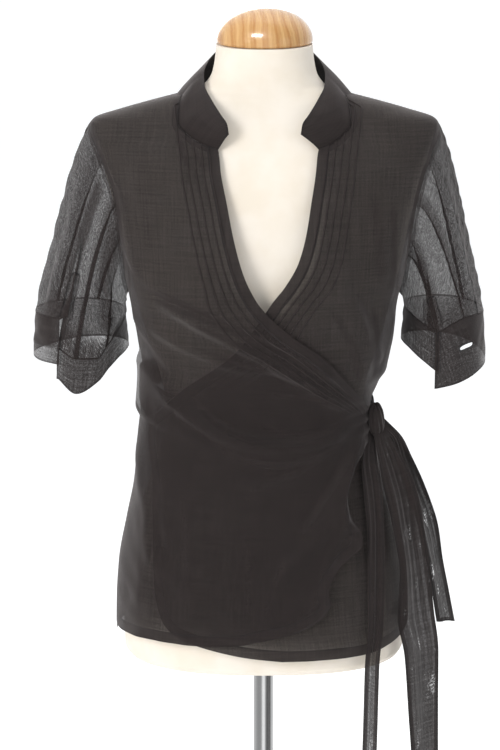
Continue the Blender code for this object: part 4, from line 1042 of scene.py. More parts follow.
def group(name, inputs, outputs):
    """A new shader node group: its net, its input sockets and the node that its outputs go to."""
    tree = bpy.data.node_groups.new(name, "ShaderNodeTree")
    for key, (kind, value) in inputs.items():
        made = tree.interface.new_socket(key, in_out="INPUT", socket_type="NodeSocket" + kind)
        if value is not None:
            made.default_value = value
    for key, kind in outputs.items():
        tree.interface.new_socket(key, in_out="OUTPUT", socket_type="NodeSocket" + kind)
    net = Net(tree)
    return net, net.node("NodeGroupInput").outputs, net.node("NodeGroupOutput").inputs


def voile_group():
    """Plain weave: threads both ways with slubs, and how much light passes between them."""
    net, given, out = group(
        "Voile weave",
        {
            "Cloth": ("Vector", None),
            "Thread pitch": ("Float", 0.0006),
            "Passes": ("Float", 0.33),
            "Slubs": ("Float", 0.3),
            "Mottle": ("Float", 0.2),
            "Patches": ("Float", 0.0),
        },
        {"Passes": "Float", "Opened": "Float", "Height": "Float", "Slub": "Float"},
    )
    place = net.node("ShaderNodeSeparateXYZ", {0: given["Cloth"]}).outputs
    threads = []
    for axis in (0, 1):
        turn = net.math("DIVIDE", net.math("MULTIPLY", place[axis], 2 * math.pi), given["Thread pitch"])
        threads.append(net.math("MULTIPLY_ADD", net.math("SINE", turn), 0.5, 0.5))
    gaps = net.math("MULTIPLY", *(net.math("SUBTRACT", 1.0, line) for line in threads))
    streaks = []
    for scale in ((18.0, 460.0, 0.0), (460.0, 18.0, 0.0)):
        streaks.append(net.noise(net.stretched(given["Cloth"], scale), 1.0, 1.0))
    slub = net.math("MULTIPLY", net.math("SUBTRACT", net.math("ADD", *streaks), 1.0), 2.2)
    spots = net.noise(given["Cloth"], 430.0, 3.0, 0.7)
    mottle = net.math("MULTIPLY", net.math("SUBTRACT", spots, 0.5), 7.0)
    patch = net.ramp(net.noise(net.stretched(given["Cloth"], (85.0, 20.0, 0.0)), 1.0, 2.0), 0.60, 0.70)
    woven = net.math("MULTIPLY_ADD", gaps, 0.8, 0.8)
    varied = net.math("MULTIPLY_ADD", slub, given["Slubs"], 1.0)
    varied = net.math("MULTIPLY_ADD", mottle, given["Mottle"], varied)
    passes = net.math("MULTIPLY", net.math("MULTIPLY", given["Passes"], woven), varied)
    net.give(out["Passes"], net.math("MINIMUM", net.math("MAXIMUM", passes, 0.03), 0.95))
    flecks = net.ramp(spots, 0.42, 0.62)
    opened = net.math("MULTIPLY", patch, flecks)
    net.give(out["Opened"], net.math("MULTIPLY_ADD", opened, given["Patches"], 1.0))
    net.give(out["Height"], net.math("MAXIMUM", *threads))
    net.give(out["Slub"], slub)
    return net.tree


def sewing_group():
    """What is sewn along a finished edge or a seam: a doubled band, and a line of stitches."""
    net, given, out = group(
        "Sewn edge",
        {
            "Distance": ("Float", 1.0),
            "Run": ("Float", 0.0),
            "Band": ("Float", 0.012),
            "Inset": ("Float", 0.011),
            "Stitch": ("Float", 0.0026),
        },
        {"Band": "Float", "Stitches": "Float"},
    )
    band = net.ramp(net.math("SUBTRACT", given["Distance"], given["Band"]), -0.0002, 0.0003, 1.0, 0.0)
    off = net.math("ABSOLUTE", net.math("SUBTRACT", given["Distance"], given["Inset"]))
    line = net.ramp(off, 0.0002, 0.0005, 1.0, 0.0)
    turn = net.math("MULTIPLY", net.math("DIVIDE", given["Run"], given["Stitch"]), 2 * math.pi)
    dash = net.ramp(net.math("SINE", turn), -0.75, -0.35)
    net.give(out["Band"], band)
    net.give(out["Stitches"], net.math("MULTIPLY", line, dash))
    return net.tree


def new_material(name):
    """A material with a node tree: the material, its net and its Principled shader."""
    made = bpy.data.materials.new(name)
    made.use_nodes = True
    return made, Net(made.node_tree), made.node_tree.nodes["Principled BSDF"]


def attribute(net, name):
    return net.node("ShaderNodeAttribute", attribute_name=name).outputs["Fac"]


def scaled(colour, *shares):
    """A colour with its three values times one share, or times one each."""
    shares = shares * 3 if len(shares) == 1 else shares
    return tuple(value * share for value, share in zip(colour, shares)) + (1.0,)


def voile(name, passes, mottle, patches, hem_band, hem_inset, seam_band):
    """Sheer black voile: each ply passes a share of the light, and doubled cloth passes that share of it."""
    look = settings()
    made, net, shader = new_material(name)
    weave = net.group("Voile weave", {
        "Cloth": net.node("ShaderNodeUVMap", uv_map="cloth").outputs["UV"],
        "Thread pitch": look.thread_pitch, "Passes": passes,
        "Slubs": SLUBS, "Mottle": mottle, "Patches": patches,
    })
    run = attribute(net, "run")
    hem, seam = (
        net.group("Sewn edge", {
            "Distance": attribute(net, key), "Run": run, "Band": band, "Inset": inset,
            "Stitch": look.stitch_length,
        })
        for key, band, inset in (("hem", hem_band, hem_inset), ("seam", seam_band, SEAM_STITCHES))
    )
    # the plies counted include painted shade from the creases, the pleats' troughs and the sleeve and cuff
    # bands
    plies = net.math("ADD", 1.0, attribute(net, "plies_and_shade"))
    plies = net.math("ADD", plies, net.math("MULTIPLY", hem["Band"], 0.8))
    plies = net.math("ADD", plies, net.math("MULTIPLY", seam["Band"], 1.0))
    passes = net.math("MULTIPLY", net.math("POWER", weave["Passes"], plies), weave["Opened"])
    stitches = net.math("MAXIMUM", hem["Stitches"], net.math("MULTIPLY", seam["Stitches"], 0.6))
    passes = net.math("MULTIPLY", passes, net.math("SUBTRACT", 1.0, net.math("MULTIPLY", stitches, 0.8)))
    colour = tuple(look.cloth_colour)
    shade = net.mix(net.ramp(weave["Slub"], -0.8, 0.8), colour, scaled(colour, 1.5))
    height = net.math("ADD", net.math("MULTIPLY", weave["Height"], 0.25), stitches)
    height = net.math("ADD", height, net.math("MULTIPLY", hem["Band"], 0.8))
    net.fill(shader, {
        "Alpha": net.math("SUBTRACT", 1.0, passes, clamp=True),
        "Base Color": net.mix(stitches, shade, tuple(look.thread_colour)),
        "Roughness": net.math("MULTIPLY_ADD", weave["Height"], -0.15, 0.85),
        "Specular IOR Level": 0.15,
        "Sheen Weight": look.sheen,
        "Sheen Roughness": 0.45,
        "Sheen Tint": (1.0, 0.93, 0.92, 1.0),
        "Normal": net.bump(height, 0.5, 0.0003),
    })
    return made


def jersey():
    """The form's cream jersey: fine ribs of knit and a little unevenness of tone."""
    made, net, shader = new_material("jersey_cover")
    place = net.place()
    xyz = net.node("ShaderNodeSeparateXYZ", {0: place}).outputs
    around = net.math("ARCTAN2", xyz[0], xyz[1])
    ribs = net.math("SINE", net.math("MULTIPLY", around, 1400.0))
    rows = net.math("SINE", net.math("MULTIPLY", xyz[2], 2 * math.pi / 0.0011))
    knit = net.math("MULTIPLY_ADD", net.math("MULTIPLY", ribs, rows), 0.5, 0.5)
    light = tuple(settings().jersey_colour)
    tone = net.ramp(net.noise(place, 22.0, 3.0), 0.3, 0.7)
    net.fill(shader, {
        "Base Color": net.mix(tone, scaled(light, 0.94, 0.92, 0.88), light),
        "Roughness": net.math("MULTIPLY_ADD", knit, -0.1, 0.92),
        "Sheen Weight": 0.15,
        "Normal": net.bump(knit, 0.25, 0.0002),
    })
    return made


def cap_wood():
    """Varnished honey-coloured wood: straight grain seen as upright stripes, with fine pores."""
    look = settings()
    made, net, shader = new_material("honey_wood")
    place = net.place()
    xyz = net.node("ShaderNodeSeparateXYZ", {0: place}).outputs
    slanted = net.math("ADD", xyz[0], net.math("MULTIPLY", xyz[1], 0.22))
    bent = net.math("MULTIPLY_ADD", net.noise(place, 16.0, 2.0), 0.020, slanted)
    rings, finer = (
        net.math("SINE", net.math("MULTIPLY", bent, 2 * math.pi / pitch)) for pitch in (0.0125, 0.0046)
    )
    pores = net.noise(net.stretched(place, (700.0, 60.0, 60.0)), 1.0, 2.0)
    grain = net.math("MULTIPLY_ADD", finer, 0.18, net.math("MULTIPLY_ADD", rings, 0.34, 0.5))
    grain = net.math("ADD", grain, net.math("MULTIPLY", net.math("SUBTRACT", pores, 0.5), 0.5), clamp=True)
    net.fill(shader, {
        "Base Color": net.mix(grain, tuple(look.wood_light), tuple(look.wood_dark)),
        "Roughness": net.math("MULTIPLY_ADD", pores, 0.12, 0.22),
        "Coat Weight": 0.8,
        "Coat Roughness": 0.06,
        "Normal": net.bump(pores, 0.12, 0.0002),
    })
    return made


def chrome():
    """Polished chrome with fine lengthwise brushing and faint wear."""
    made, net, shader = new_material("polished_chrome")
    place = net.place()
    brushed = net.noise(net.stretched(place, (900.0, 900.0, 12.0)), 1.0, 2.0)
    smudge = net.noise(place, 40.0, 3.0)
    rough = net.math("MULTIPLY_ADD", brushed, 0.08, settings().chrome_roughness)
    net.fill(shader, {
        "Metallic": 1.0,
        "Base Color": net.mix(smudge, (0.60, 0.61, 0.62, 1.0), (0.70, 0.70, 0.70, 1.0)),
        "Roughness": net.math("MULTIPLY_ADD", smudge, 0.04, rough),
        "Normal": net.bump(brushed, 0.04, 0.0001),
    })
    return made


def thread():
    """Black sewing thread: a dull twist of fibres across the stitching."""
    made, net, shader = new_material("sewing_thread")
    fibres = net.noise(net.place(), 2600.0, 2.0)
    dark = tuple(settings().thread_colour)
    net.fill(shader, {
        "Base Color": net.mix(fibres, dark, scaled(dark[:3], 1.8)),
        "Roughness": net.math("MULTIPLY_ADD", fibres, 0.2, 0.6),
        "Sheen Weight": 0.2,
        "Normal": net.bump(fibres, 0.3, 0.0002),
    })
    return made


def finish_of(name):
    """The named finish, made the first time it is asked for."""
    if name in bpy.data.materials:
        return bpy.data.materials[name]
    for needed, maker in (("Voile weave", voile_group), ("Sewn edge", sewing_group)):
        if needed not in bpy.data.node_groups:
            maker()
    look = settings()
    close, loose, hem = look.see_through, look.see_through_loose, look.hem_width
    makers = {
        "bodice_voile": lambda: voile("bodice_voile", close, 0.10, 0.0, hem, hem - 0.001, 0.007),
        "sleeve_voile": lambda: voile("sleeve_voile", loose, 0.42, 0.0, 0.006, 0.005, 0.006),
        "collar_voile": lambda: voile("collar_voile", close, 0.08, 0.0, 0.0015, 0.002, 0.004),
        "cuff_voile": lambda: voile("cuff_voile", 0.85 * loose, 0.24, 0.0, 0.0015, 0.002, 0.004),
        "tie_voile": lambda: voile("tie_voile", 0.44 * loose, 0.25, 7.0, 0.005, 0.002, 0.003),
        "knot_voile": lambda: voile("knot_voile", close, 0.20, 0.0, 0.0, 0.0, 0.0),
        "sewing_thread": thread,
        "jersey_cover": jersey,
        "honey_wood": cap_wood,
        "polished_chrome": chrome,
    }
    return makers[name]()


def put(piece, nodes):
    """Attaches a finished piece to the root that it rides on, and hides the nodes that it stands for."""
    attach(piece, "root")
    if nodes:
        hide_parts(*nodes)
    return piece


def laid(phi, z, lift):
    """Points on the bodice surface, raised by lift to the middle of the cloth, and their normals."""
    base = bodice_surface(phi, z)
    normal = normals_of(bodice_surface, phi, z)
    return base + normal * (np.asarray(lift, float) + CLOTH / 2)[..., None], normal


def height_along_cloth(z):
    """How far up the cloth a height lies, measured along the bodice surface between front and side."""
    levels = np.linspace(BODICE[0][0] - 0.01, BODICE[-1][0] + 0.01, 400)
    line = bodice_surface(np.full(400, 0.8), levels)
    return np.interp(z, levels, lengths_along(line[:, None], 0)[:, 0])


def tuck_columns():
    """Distances from the wrap edge for a front's fine columns, close together at each pintuck."""
    crest = TUCK_START + TUCK_PITCH * np.arange(TUCKS)
    near = np.array([-0.0026, -0.0014, -0.0008, -0.0004, 0.0, 0.0004, 0.0008, 0.0014, 0.0026])
    plain = np.linspace(0, crest[0] - 0.004, 6)
    last = crest[-1] + TUCK_PITCH / 2
    return crest, np.unique(np.concatenate([plain, (crest[:, None] + near).ravel(), [last]]))


def front_grid(edge_x, heights, side):
    """Angles of a front's fine grid from the side seam to the wrap edge, and distances from that edge.

    The tucks keep their distance from the edge, and run on straight above it into the neck seam,
    where their columns are cut off: there the distances go on under the collar.
    """
    crest, distance = tuck_columns()
    edge = edge_x(heights)
    straight = edge.copy()
    above = heights > COLLAR_FRONT_Z
    slope = (edge_x(COLLAR_FRONT_Z) - edge_x(COLLAR_FRONT_Z - 0.03)) / 0.03
    straight[above] = edge_x(COLLAR_FRONT_Z) + slope * (heights[above] - COLLAR_FRONT_Z)
    even = np.arange(heights[0] - 0.06, heights[-1] + 0.06, 0.002)
    lean = np.gradient(edge_x(np.clip(even, heights[0], COLLAR_FRONT_Z)), 0.002)
    lean = np.minimum(np.hypot(1, lean), STRIP_LEAN)
    bell = np.exp(-((np.arange(-20, 21) / 9.0) ** 2))
    lean = np.interp(heights, even, np.convolve(lean, bell / bell.sum(), mode="same"))
    gather = 1 - GATHER * np.exp(-(((heights - KNOT_Z) / GATHER_SPREAD) ** 2))
    inset = armhole_inset(heights, ARMHOLE_FRONT)
    side_phi = math.pi / 2 - inset - seam_angle(heights, BODICE_CURVES["front"])
    room = np.abs(bodice_surface(side * side_phi, heights)[:, 0] - straight)
    reach = np.minimum(lean * gather, STRIP_SHARE * room / distance[-1])
    tucked = phi_at(straight[:, None] + side * reach[:, None] * distance, heights[:, None])[:, ::-1]
    seam = side * np.abs(phi_at(edge, heights))[:, None]
    tucked = np.where(above[:, None], side * np.maximum(side * tucked, side * seam), tucked)
    share = np.linspace(0, 1, FRONT_COLUMNS, endpoint=False)
    start = side * side_phi[:, None]
    plain = start + (tucked[:, :1] - start) * share
    return np.concatenate([plain, tucked], axis=1), crest, distance[::-1]


def front_sheet(name, edge_x, rows, side, folds, creases, lift_of):
    """A front: the frame's folds, finer ones, crinkles, and five pintucks as narrow bells of cloth."""
    heights = fine(rows + ARM_ROWS + SHOULDER_ROWS, FRONT_ROWS)
    phi, crest, distance = front_grid(edge_x, heights, side)
    z = np.repeat(heights[:, None], phi.shape[1], axis=1)
    x = bodice_surface(phi, z)[..., 0]
    to_side = smooth_step(side * phi, HEM_FROM, math.pi / 2)
    z = z + HEM_SIDES[name] * to_side * smooth_step(-z, -HEM_TOP, -heights[0])
    calm = smooth_step(-np.abs(phi), math.radians(-88), math.radians(-74))
    off_edge = np.abs(x - edge_x(heights)[:, None])
    calm = calm * smooth_step(off_edge, 0.0, 0.006)
    rises, plies = crease_field(x, z, creases)
    still = smooth_step(-z, *BELOW_SHOULDER) * calm
    wrinkle = crinkle(x, z, 11 + side, 0.030) * 0.00035 * still
    lift = lift_of(x, z, phi) + fold_field(x, z, folds) * calm + rises * calm
    lift = lift + np.maximum(wrinkle, CRINKLE_FLOOR)
    if side < 0:
        at_knot = np.exp(-(((z - KNOT_Z) / 0.024) ** 2)) * smooth_step(-off_edge, -0.030, -0.002)
        waves = 0.5 + 0.5 * np.sin(2 * math.pi * z / GATHER_PITCH + 40 * off_edge)
        lift = lift + GATHER_RISE * at_knot * waves
        for at_z, spread, rise, reach in EDGE_FLARES:
            lift = lift + rise * np.exp(-(((z - at_z) / spread) ** 2)) * smooth_step(-off_edge, -reach, 0.0)
    grid, normal = laid(phi, z, lift)
    on = smooth_step(heights, TUCKS_FROM[name] - 0.02, TUCKS_FROM[name] + TUCKS_FADE)[:, None]
    gap = np.min(np.abs(distance[:, None] - crest), axis=1)
    ridge = np.concatenate([np.zeros(FRONT_COLUMNS), np.exp(-((gap / TUCK_HALF) ** 2))])
    grid = grid + normal * (settings().tuck_rise * ridge * on)[..., None]
    low = heights < COLLAR_FRONT_Z
    hem, run = distance_map(grid, np.concatenate([grid[0], grid[low][:, -1]]))
    seam, _ = distance_map(grid, np.concatenate([grid[:, 0], grid[-1], grid[~low][::-1, -1]]))
    arc = lengths_along(grid, 1)
    if side > 0:
        eased = -UNDER_THINNED * smooth_step(-x, -0.02, 0.04)
    else:
        eased = SIDE_THICKENED * smooth_step(-x, 0.10, 0.14)
    eased = eased * smooth_step(-z, -1.05, -0.98)
    maps = {
        "across": x[:, -1:] + side * (arc[:, -1:] - arc),
        "up": height_along_cloth(grid[..., 2]),
        "hem": hem, "run": run, "seam": seam,
        # the creases' plies (partly painted shade), the pintucks' folded cloth and the eased plies
        "plies_and_shade": plies * calm + TUCK_PLIES * ridge * on + eased,
    }
    made = cloth(name + "_voile", grid, normal, maps, finish_of("bodice_voile"), weld=True)
    return put(made, [name])


def back_sheet():
    """The back: armholes and side seams at its sides, soft folds above and below the sash."""
    heights = fine(BACK_ROWS + ARM_ROWS + SHOULDER_ROWS, FRONT_ROWS)
    reach = math.pi / 2 - armhole_inset(heights, ARMHOLE_BACK) - seam_angle(heights, BODICE_CURVES["back"])
    share = np.linspace(-1, 1, BACK_COLUMNS)
    phi = math.pi + reach[:, None] * share
    z = np.repeat(heights[:, None], len(share), axis=1)
    right, middle, left = HEM_BACK
    rise = middle + np.where(share > 0, right - middle, left - middle) * smooth_step(np.abs(share), 0.4, 1.0)
    z = z + rise * smooth_step(-z, -HEM_TOP, -heights[0])
    x = bodice_surface(phi, z)[..., 0]
    calm = smooth_step(-np.abs(share), -1.0, -0.86)
    rises, plies = crease_field(x, z, BACK_CREASES)
    off_sash = 1 - np.exp(-(((z - SASH_Z) / 0.020) ** 4))
    wrinkle = crinkle(x, z, 5, 0.032) * 0.00040 * calm * smooth_step(-z, *BELOW_SHOULDER)
    creased = (rises * calm + np.maximum(wrinkle, CRINKLE_FLOOR)) * off_sash
    lift = fold_field(x, z, BACK_FOLDS) * calm + creased
    grid, normal = laid(phi, z, lift)
    hem, run = distance_map(grid, grid[0])
    seam, _ = distance_map(grid, np.concatenate([grid[:, 0], grid[-1], grid[::-1, -1]]))
    arc = lengths_along(grid, 1)
    maps = {
        "across": arc - arc[:, [arc.shape[1] // 2]],
        "up": height_along_cloth(grid[..., 2]),
        # the creases' plies are partly painted shade
        "hem": hem, "run": run, "seam": seam, "plies_and_shade": plies * calm,
    }
    made = cloth("back_voile", grid, normal, maps, finish_of("bodice_voile"))
    return put(made, ["back"])


def collar_sheet():
    """The stand collar: ruled from the neck seam to its top edge, bowed out, with a little ease in waves."""
    top_of = curves(COLLAR_TOP, COLLAR_COLUMNS, "t")
    half = np.linspace(0, 1, COLLAR_GRID[1])
    t = np.concatenate([half, half[-2::-1]])
    side = np.where(np.arange(len(t)) < len(half), -1.0, 1.0)
    phi, z = np.empty_like(t), np.empty_like(t)
    for value in (-1, 1):
        chosen = side == value
        phi[chosen], z[chosen] = neck_seam(t[chosen], value)
    corner, normal = laid(phi, z, np.zeros_like(t))
    top = np.stack([-side * top_of["x"](t), top_of["y"](t), top_of["z"](t)], axis=-1)
    foot = corner + COLLAR_SEAM * unit(top - corner)
    share = np.linspace(0, 1, COLLAR_GRID[0])[:, None, None]
    grid = foot + (top - foot) * share + normal * COLLAR_BOW * np.sin(math.pi * share)
    along, up = np.meshgrid(np.arange(len(t)) * 0.001, share[:, 0, 0] * 0.04)
    ease = crinkle(along, up, 3, 0.04)
    grid = grid + normal * (0.0005 * ease * np.sin(math.pi * share[..., 0]))[..., None]
    away = outward_of(grid, np.broadcast_to(normal, grid.shape))
    grid = grid - away * BAND_THICKNESS / 2
    hem, run = distance_map(grid, np.concatenate([grid[:, 0], grid[-1], grid[::-1, -1]]))
    seam, _ = distance_map(grid, grid[0])
    maps = {
        "across": lengths_along(grid, 1), "up": lengths_along(grid, 0),
        "hem": hem, "run": run, "seam": seam, "plies_and_shade": COLLAR_PLIES,
    }
    made = cloth("collar_voile", grid, away, maps, finish_of("collar_voile"))
    return put(made, ["collar"])


def pleated(angle, w, pleats):
    """Knife pleats round an arm.

    The angle runs forward, back over itself and forward again at each pleat, while the cloth
    rises before it and falls inside it, so that three plies lie in steps.
    """
    turn, rise = np.zeros_like(angle), np.zeros_like(angle)
    degrees = np.degrees(angle)
    for pleat in named(pleats, PLEAT_COLUMNS):
        at = pleat["top"] + (pleat["bottom"] - pleat["top"]) * w
        on = PLEAT_KEPT + (1 - PLEAT_KEPT) * smooth_step(w, pleat["start"], pleat["start"] + 0.45)
        if pleat["end"] < 1:
            on = on * smooth_step(-w, -pleat["end"], 0.14 - pleat["end"])
        u = ((degrees - at + 180) % 360 - 180) / pleat["width"]
        turn -= pleat["reach"] * on * pleat["width"] * u * np.exp(-(u**2))
        rise += pleat["height"] * on * smooth_step(u, -2.6, -0.9) * smooth_step(-u, -0.8, 0.8)
    return angle + np.radians(turn), rise


def shaded(degrees, w, shades):
    """Plies added along bands of a sleeve, partly for folded cloth and partly as painted shade: a bell curve
    round the arm for each, faded at its ends.
    """
    plies = np.zeros_like(w)
    for shade in named(shades, SHADE_COLUMNS):
        off = (degrees - shade["top"] - (shade["bottom"] - shade["top"]) * w + 180) % 360 - 180
        fade = smooth_step(w, shade["start"], shade["start"] + 0.16)
        fade = fade * smooth_step(-w, -shade["end"], 0.16 - shade["end"])
        plies = np.maximum(plies, shade["plies"] * fade * np.exp(-((off / shade["half"]) ** 4)))
    return plies


def sleeve_sheet(name, arm, side, pleats, shades):
    """A sleeve: the frame's surface and folds, knife pleats down to the cuff, and a slit above it."""
    surface = sleeve_surface(arm, side)
    start = arm["cuff"][0][0]
    degrees = np.linspace(start, start + 360, SLEEVE_ACROSS)
    angle, w = np.meshgrid(np.radians(degrees), np.linspace(0, 1, SLEEVE_DOWN))
    over = np.linspace(-1, 1, SLEEVE_ACROSS) ** 15
    outer = np.clip(over, 0, 1)
    opened = smooth_step(w, SLIT_FROM, SLIT_FROM + 0.12)
    lap = outer * smooth_step(w, SLIT_FROM - 0.24, SLIT_FROM - 0.04) * smooth_step(-w, -1.0, -0.975)
    angle = angle + np.radians(CUFF_OVER * over * opened + SLIT_LAP * lap)
    near_slit = np.minimum(degrees - degrees[0], degrees[-1] - degrees)
    free = smooth_step(near_slit, 0.0, 7.0) * np.ones_like(w)
    lip = SLIT_LIP * outer * opened
    folded, rise = pleated(angle, w, pleats)
    folded = angle + (folded - angle) * free
    grid = surface(folded, w)
    outward = normals_of(surface, folded, w)
    centre = np.array([side * arm["centre"][0], arm["centre"][1], 0])
    middle_row = SLEEVE_DOWN // 2
    away = (grid - centre)[middle_row, :, :2]
    outward = outward * np.sign(np.sum(outward[middle_row, :, :2] * away))
    height = np.zeros_like(w)
    for fold in named(SLEEVE_FOLDS, SLEEVE_FOLD_COLUMNS):
        off = (np.degrees(folded) - fold["angle"] + 180) % 360 - 180
        fade = smooth_step(w, fold["start"], fold["start"] + 0.35) * smooth_step(-w, -1.0, -0.88)
        height = np.maximum(height, fold["height"] * fade * np.exp(-((off / fold["width"]) ** 2)))
    across, up = lengths_along(grid, 1), lengths_along(grid, 0)
    quiet = smooth_step(w, 0.02, 0.12) * smooth_step(-w, -0.99, -0.93)
    wrinkle = crinkle(across, up, 20 + side, 0.026) * 0.00045 * quiet * free
    inner = smooth_step(w, 0.0, 0.04) * smooth_step(-w, -1.0, -0.97)
    pleats_rise = rise * free * inner * SLEEVE_PLEAT_SHARE
    lift = height * SLEEVE_FOLD_SHARE + pleats_rise + wrinkle + lip - CLOTH / 2
    grid = grid + outward * lift[..., None]
    slit_row = int(round(SLIT_FROM * (SLEEVE_DOWN - 1)))
    slit = np.concatenate([grid[slit_row:, 0], grid[slit_row:, -1]])
    hem, run = distance_map(grid, slit)
    under = np.argmin(np.abs(degrees - 180))
    seam, _ = distance_map(grid, np.concatenate([grid[0], grid[::-1, under]]))
    maps = {
        "across": across, "up": -up, "hem": hem, "run": run, "seam": seam,
        # the bands' plies: partly folded cloth, partly painted shade
        "plies_and_shade": shaded(np.degrees(angle), w, shades),
    }
    made = cloth(name + "_voile", grid, outward, maps, finish_of("sleeve_voile"), join=(0, slit_row))
    return put(made, [name])


def slot_rows(angle_degrees, centre, half_angle, half_step, count):
    """How far down a cuff its grid rows lie.

    Those above the buttonhole end on its upper edge, and the rest start on its lower edge. The
    edges are a flat oval of power 4, and meet outside it.
    """
    u = np.clip(np.abs(angle_degrees - centre[0]) / half_angle, 0, 1)
    gap = half_step * (1 - u**4) ** 0.5
    above = np.linspace(0, 1, count)[:, None] * (centre[1] - gap)
    below = (centre[1] + gap) + np.linspace(0, 1, count)[:, None] * (1 - centre[1] - gap)
    return np.concatenate([above, below])


def cuff_point(arm, side, angle, v, edges):
    """A point of the cuff's outer face, v from its top edge (0) to its lower edge (1), and its way out."""
    plan, outward = cuff_ring(angle, arm, side, CUFF_FLARE * v[..., None])
    degrees = np.degrees(angle)
    top, bottom = edges["top"](degrees), edges["bottom"](degrees)
    grid = np.concatenate([plan, (top + (bottom - top) * v)[..., None]], axis=-1)
    return grid, np.concatenate([outward, 0 * outward[..., :1]], axis=-1)


def buttonhole_rim(arm, side, centre, half_angle, half_step, edges):
    """A rim of close stitches round the buttonhole: a thread that swells at each stitch."""
    turn = np.linspace(0, 2 * math.pi, RIM_GRID[0], endpoint=False)
    oval_u = np.sign(np.cos(turn)) * np.abs(np.cos(turn)) ** 0.5
    oval_v = np.sign(np.sin(turn)) * np.abs(np.sin(turn)) ** 0.5
    path, out = cuff_point(arm, side, np.radians(centre[0] + (half_angle + 0.6) * oval_u),
                           centre[1] + (half_step + 0.008) * oval_v, edges)
    path = path - out * BAND_THICKNESS / 2
    radius = 0.0007 * (1 + 0.22 * np.cos(60 * turn))
    along = unit(np.roll(path, -1, axis=0) - np.roll(path, 1, axis=0))
    beside = unit(np.cross(along, out))
    ring = np.arange(RIM_GRID[1]) * 2 * math.pi / RIM_GRID[1]
    points = path[:, None] + radius[:, None, None] * (
        np.cos(ring)[:, None] * out[:, None] + np.sin(ring)[:, None] * beside[:, None])
    closed = np.concatenate([points, points[:1]])
    away = closed - np.concatenate([path, path[:1]])[:, None]
    quads = facing(closed, grid_faces(len(closed), RIM_GRID[1], True), away)
    rim = mesh_object("buttonhole_stitching", closed.reshape(-1, 3), quads, weld=True)
    rim.data.materials.append(finish_of("sewing_thread"))
    return put(rim, [])


def cuff_sheet(name, arm, side, buttonhole):
    """A cuff left open, as one band round the arm; the left one has its buttonhole cut through."""
    edges = curves(arm["cuff"], CUFF_COLUMNS, "angle")
    start = arm["cuff"][0][0]
    count, columns = CUFF_GRID
    degrees = np.linspace(start - CUFF_OVER, start + 360 + CUFF_OVER, columns)
    centre = (BUTTONHOLE_ANGLES[1], (CUFF_STEPS[1] + CUFF_STEPS[2]) / 2)
    half_step = (CUFF_STEPS[2] - CUFF_STEPS[1]) / 2 if buttonhole else 0.0
    half_angle = BUTTONHOLE_ANGLES[2] - BUTTONHOLE_ANGLES[1]
    v = slot_rows(degrees, centre, half_angle, half_step, count)
    angle = np.radians(np.broadcast_to(degrees, v.shape))
    grid, outward = cuff_point(arm, side, angle, v, edges)
    wave = crinkle(angle * 0.05, v * 0.07, 31 + side, 0.03) * 0.0006 * np.sin(math.pi * v)
    wave = wave + 0.0016 * smooth_step(angle, angle[0, -1] - math.radians(14), angle[0, -1])
    grid = grid + outward * (wave - BAND_THICKNESS / 2)[..., None]
    keep = np.ones((2 * count - 1, len(degrees) - 1), bool)
    keep[count - 1] = False
    hem, run = distance_map(grid, np.concatenate([grid[:, 0], grid[-1], grid[::-1, -1]]))
    maps = {
        "across": lengths_along(grid, 1), "up": -lengths_along(grid, 0),
        "hem": hem, "run": run, "seam": 1.0,
        # the cuff's doubled cloth, and bands whose plies are partly folded cloth and partly painted shade
        "plies_and_shade": CUFF_PLIES + shaded(np.degrees(angle), v, CUFF_SHADES[name]),
    }
    made = cloth(name + "_voile", grid, outward, maps, finish_of("cuff_voile"), keep=keep, weld=True)
    sewn = [buttonhole_rim(arm, side, centre, half_angle, half_step, edges)] if buttonhole else []
    return put(made, [name])


def knot_ball():
    """The knot: an oval bundle of upright pleats, which spreads toward the hanging ends."""
    _, _, middle, axes = knot_place()
    rows, columns = KNOT_GRID
    round_it = np.arange(columns) * 2 * math.pi / columns
    lat, turn = np.meshgrid(np.linspace(-0.5, 0.5, rows) * math.pi, round_it, indexing="ij")
    ball = np.stack([np.cos(lat) * np.cos(turn), np.cos(lat) * np.sin(turn), np.sin(lat)], axis=-1)
    pleats = 0.075 * np.sqrt(np.sin(4.5 * turn + 1.1 * np.sin(2.2 * lat)) ** 2 + 0.03)
    pleats = pleats + 0.030 * np.sin(13 * turn + 2.5 * lat)
    grid = ball * (0.94 + pleats * np.cos(lat) ** 0.5)[..., None]
    low = np.clip(-ball[..., 2], 0, 1)
    grid[..., 1] = grid[..., 1] * (1 + 0.30 * low) + 0.42 * low
    grid[..., 2] *= 1 + 0.12 * np.sin(2.0 * turn + 0.8)
    grid = middle + (grid * KNOT_SWELL * KNOT_RADII) @ axes
    quads = facing(grid, grid_faces(*grid.shape[:2], True), grid - middle)
    made = mesh_object("sash_knot_voile", grid.reshape(-1, 3), quads, weld=True)
    made.data.uv_layers.new(name="cloth")
    for key, value in (("hem", 1.0), ("seam", 1.0), ("plies_and_shade", KNOT_PLIES)):
        spot = made.data.attributes.new(key, "FLOAT", "POINT")
        spot.data.foreach_set("value", np.full(len(made.data.vertices), value, np.float32))
    made.data.materials.append(finish_of("knot_voile"))
    return put(made, ["sash_knot"])


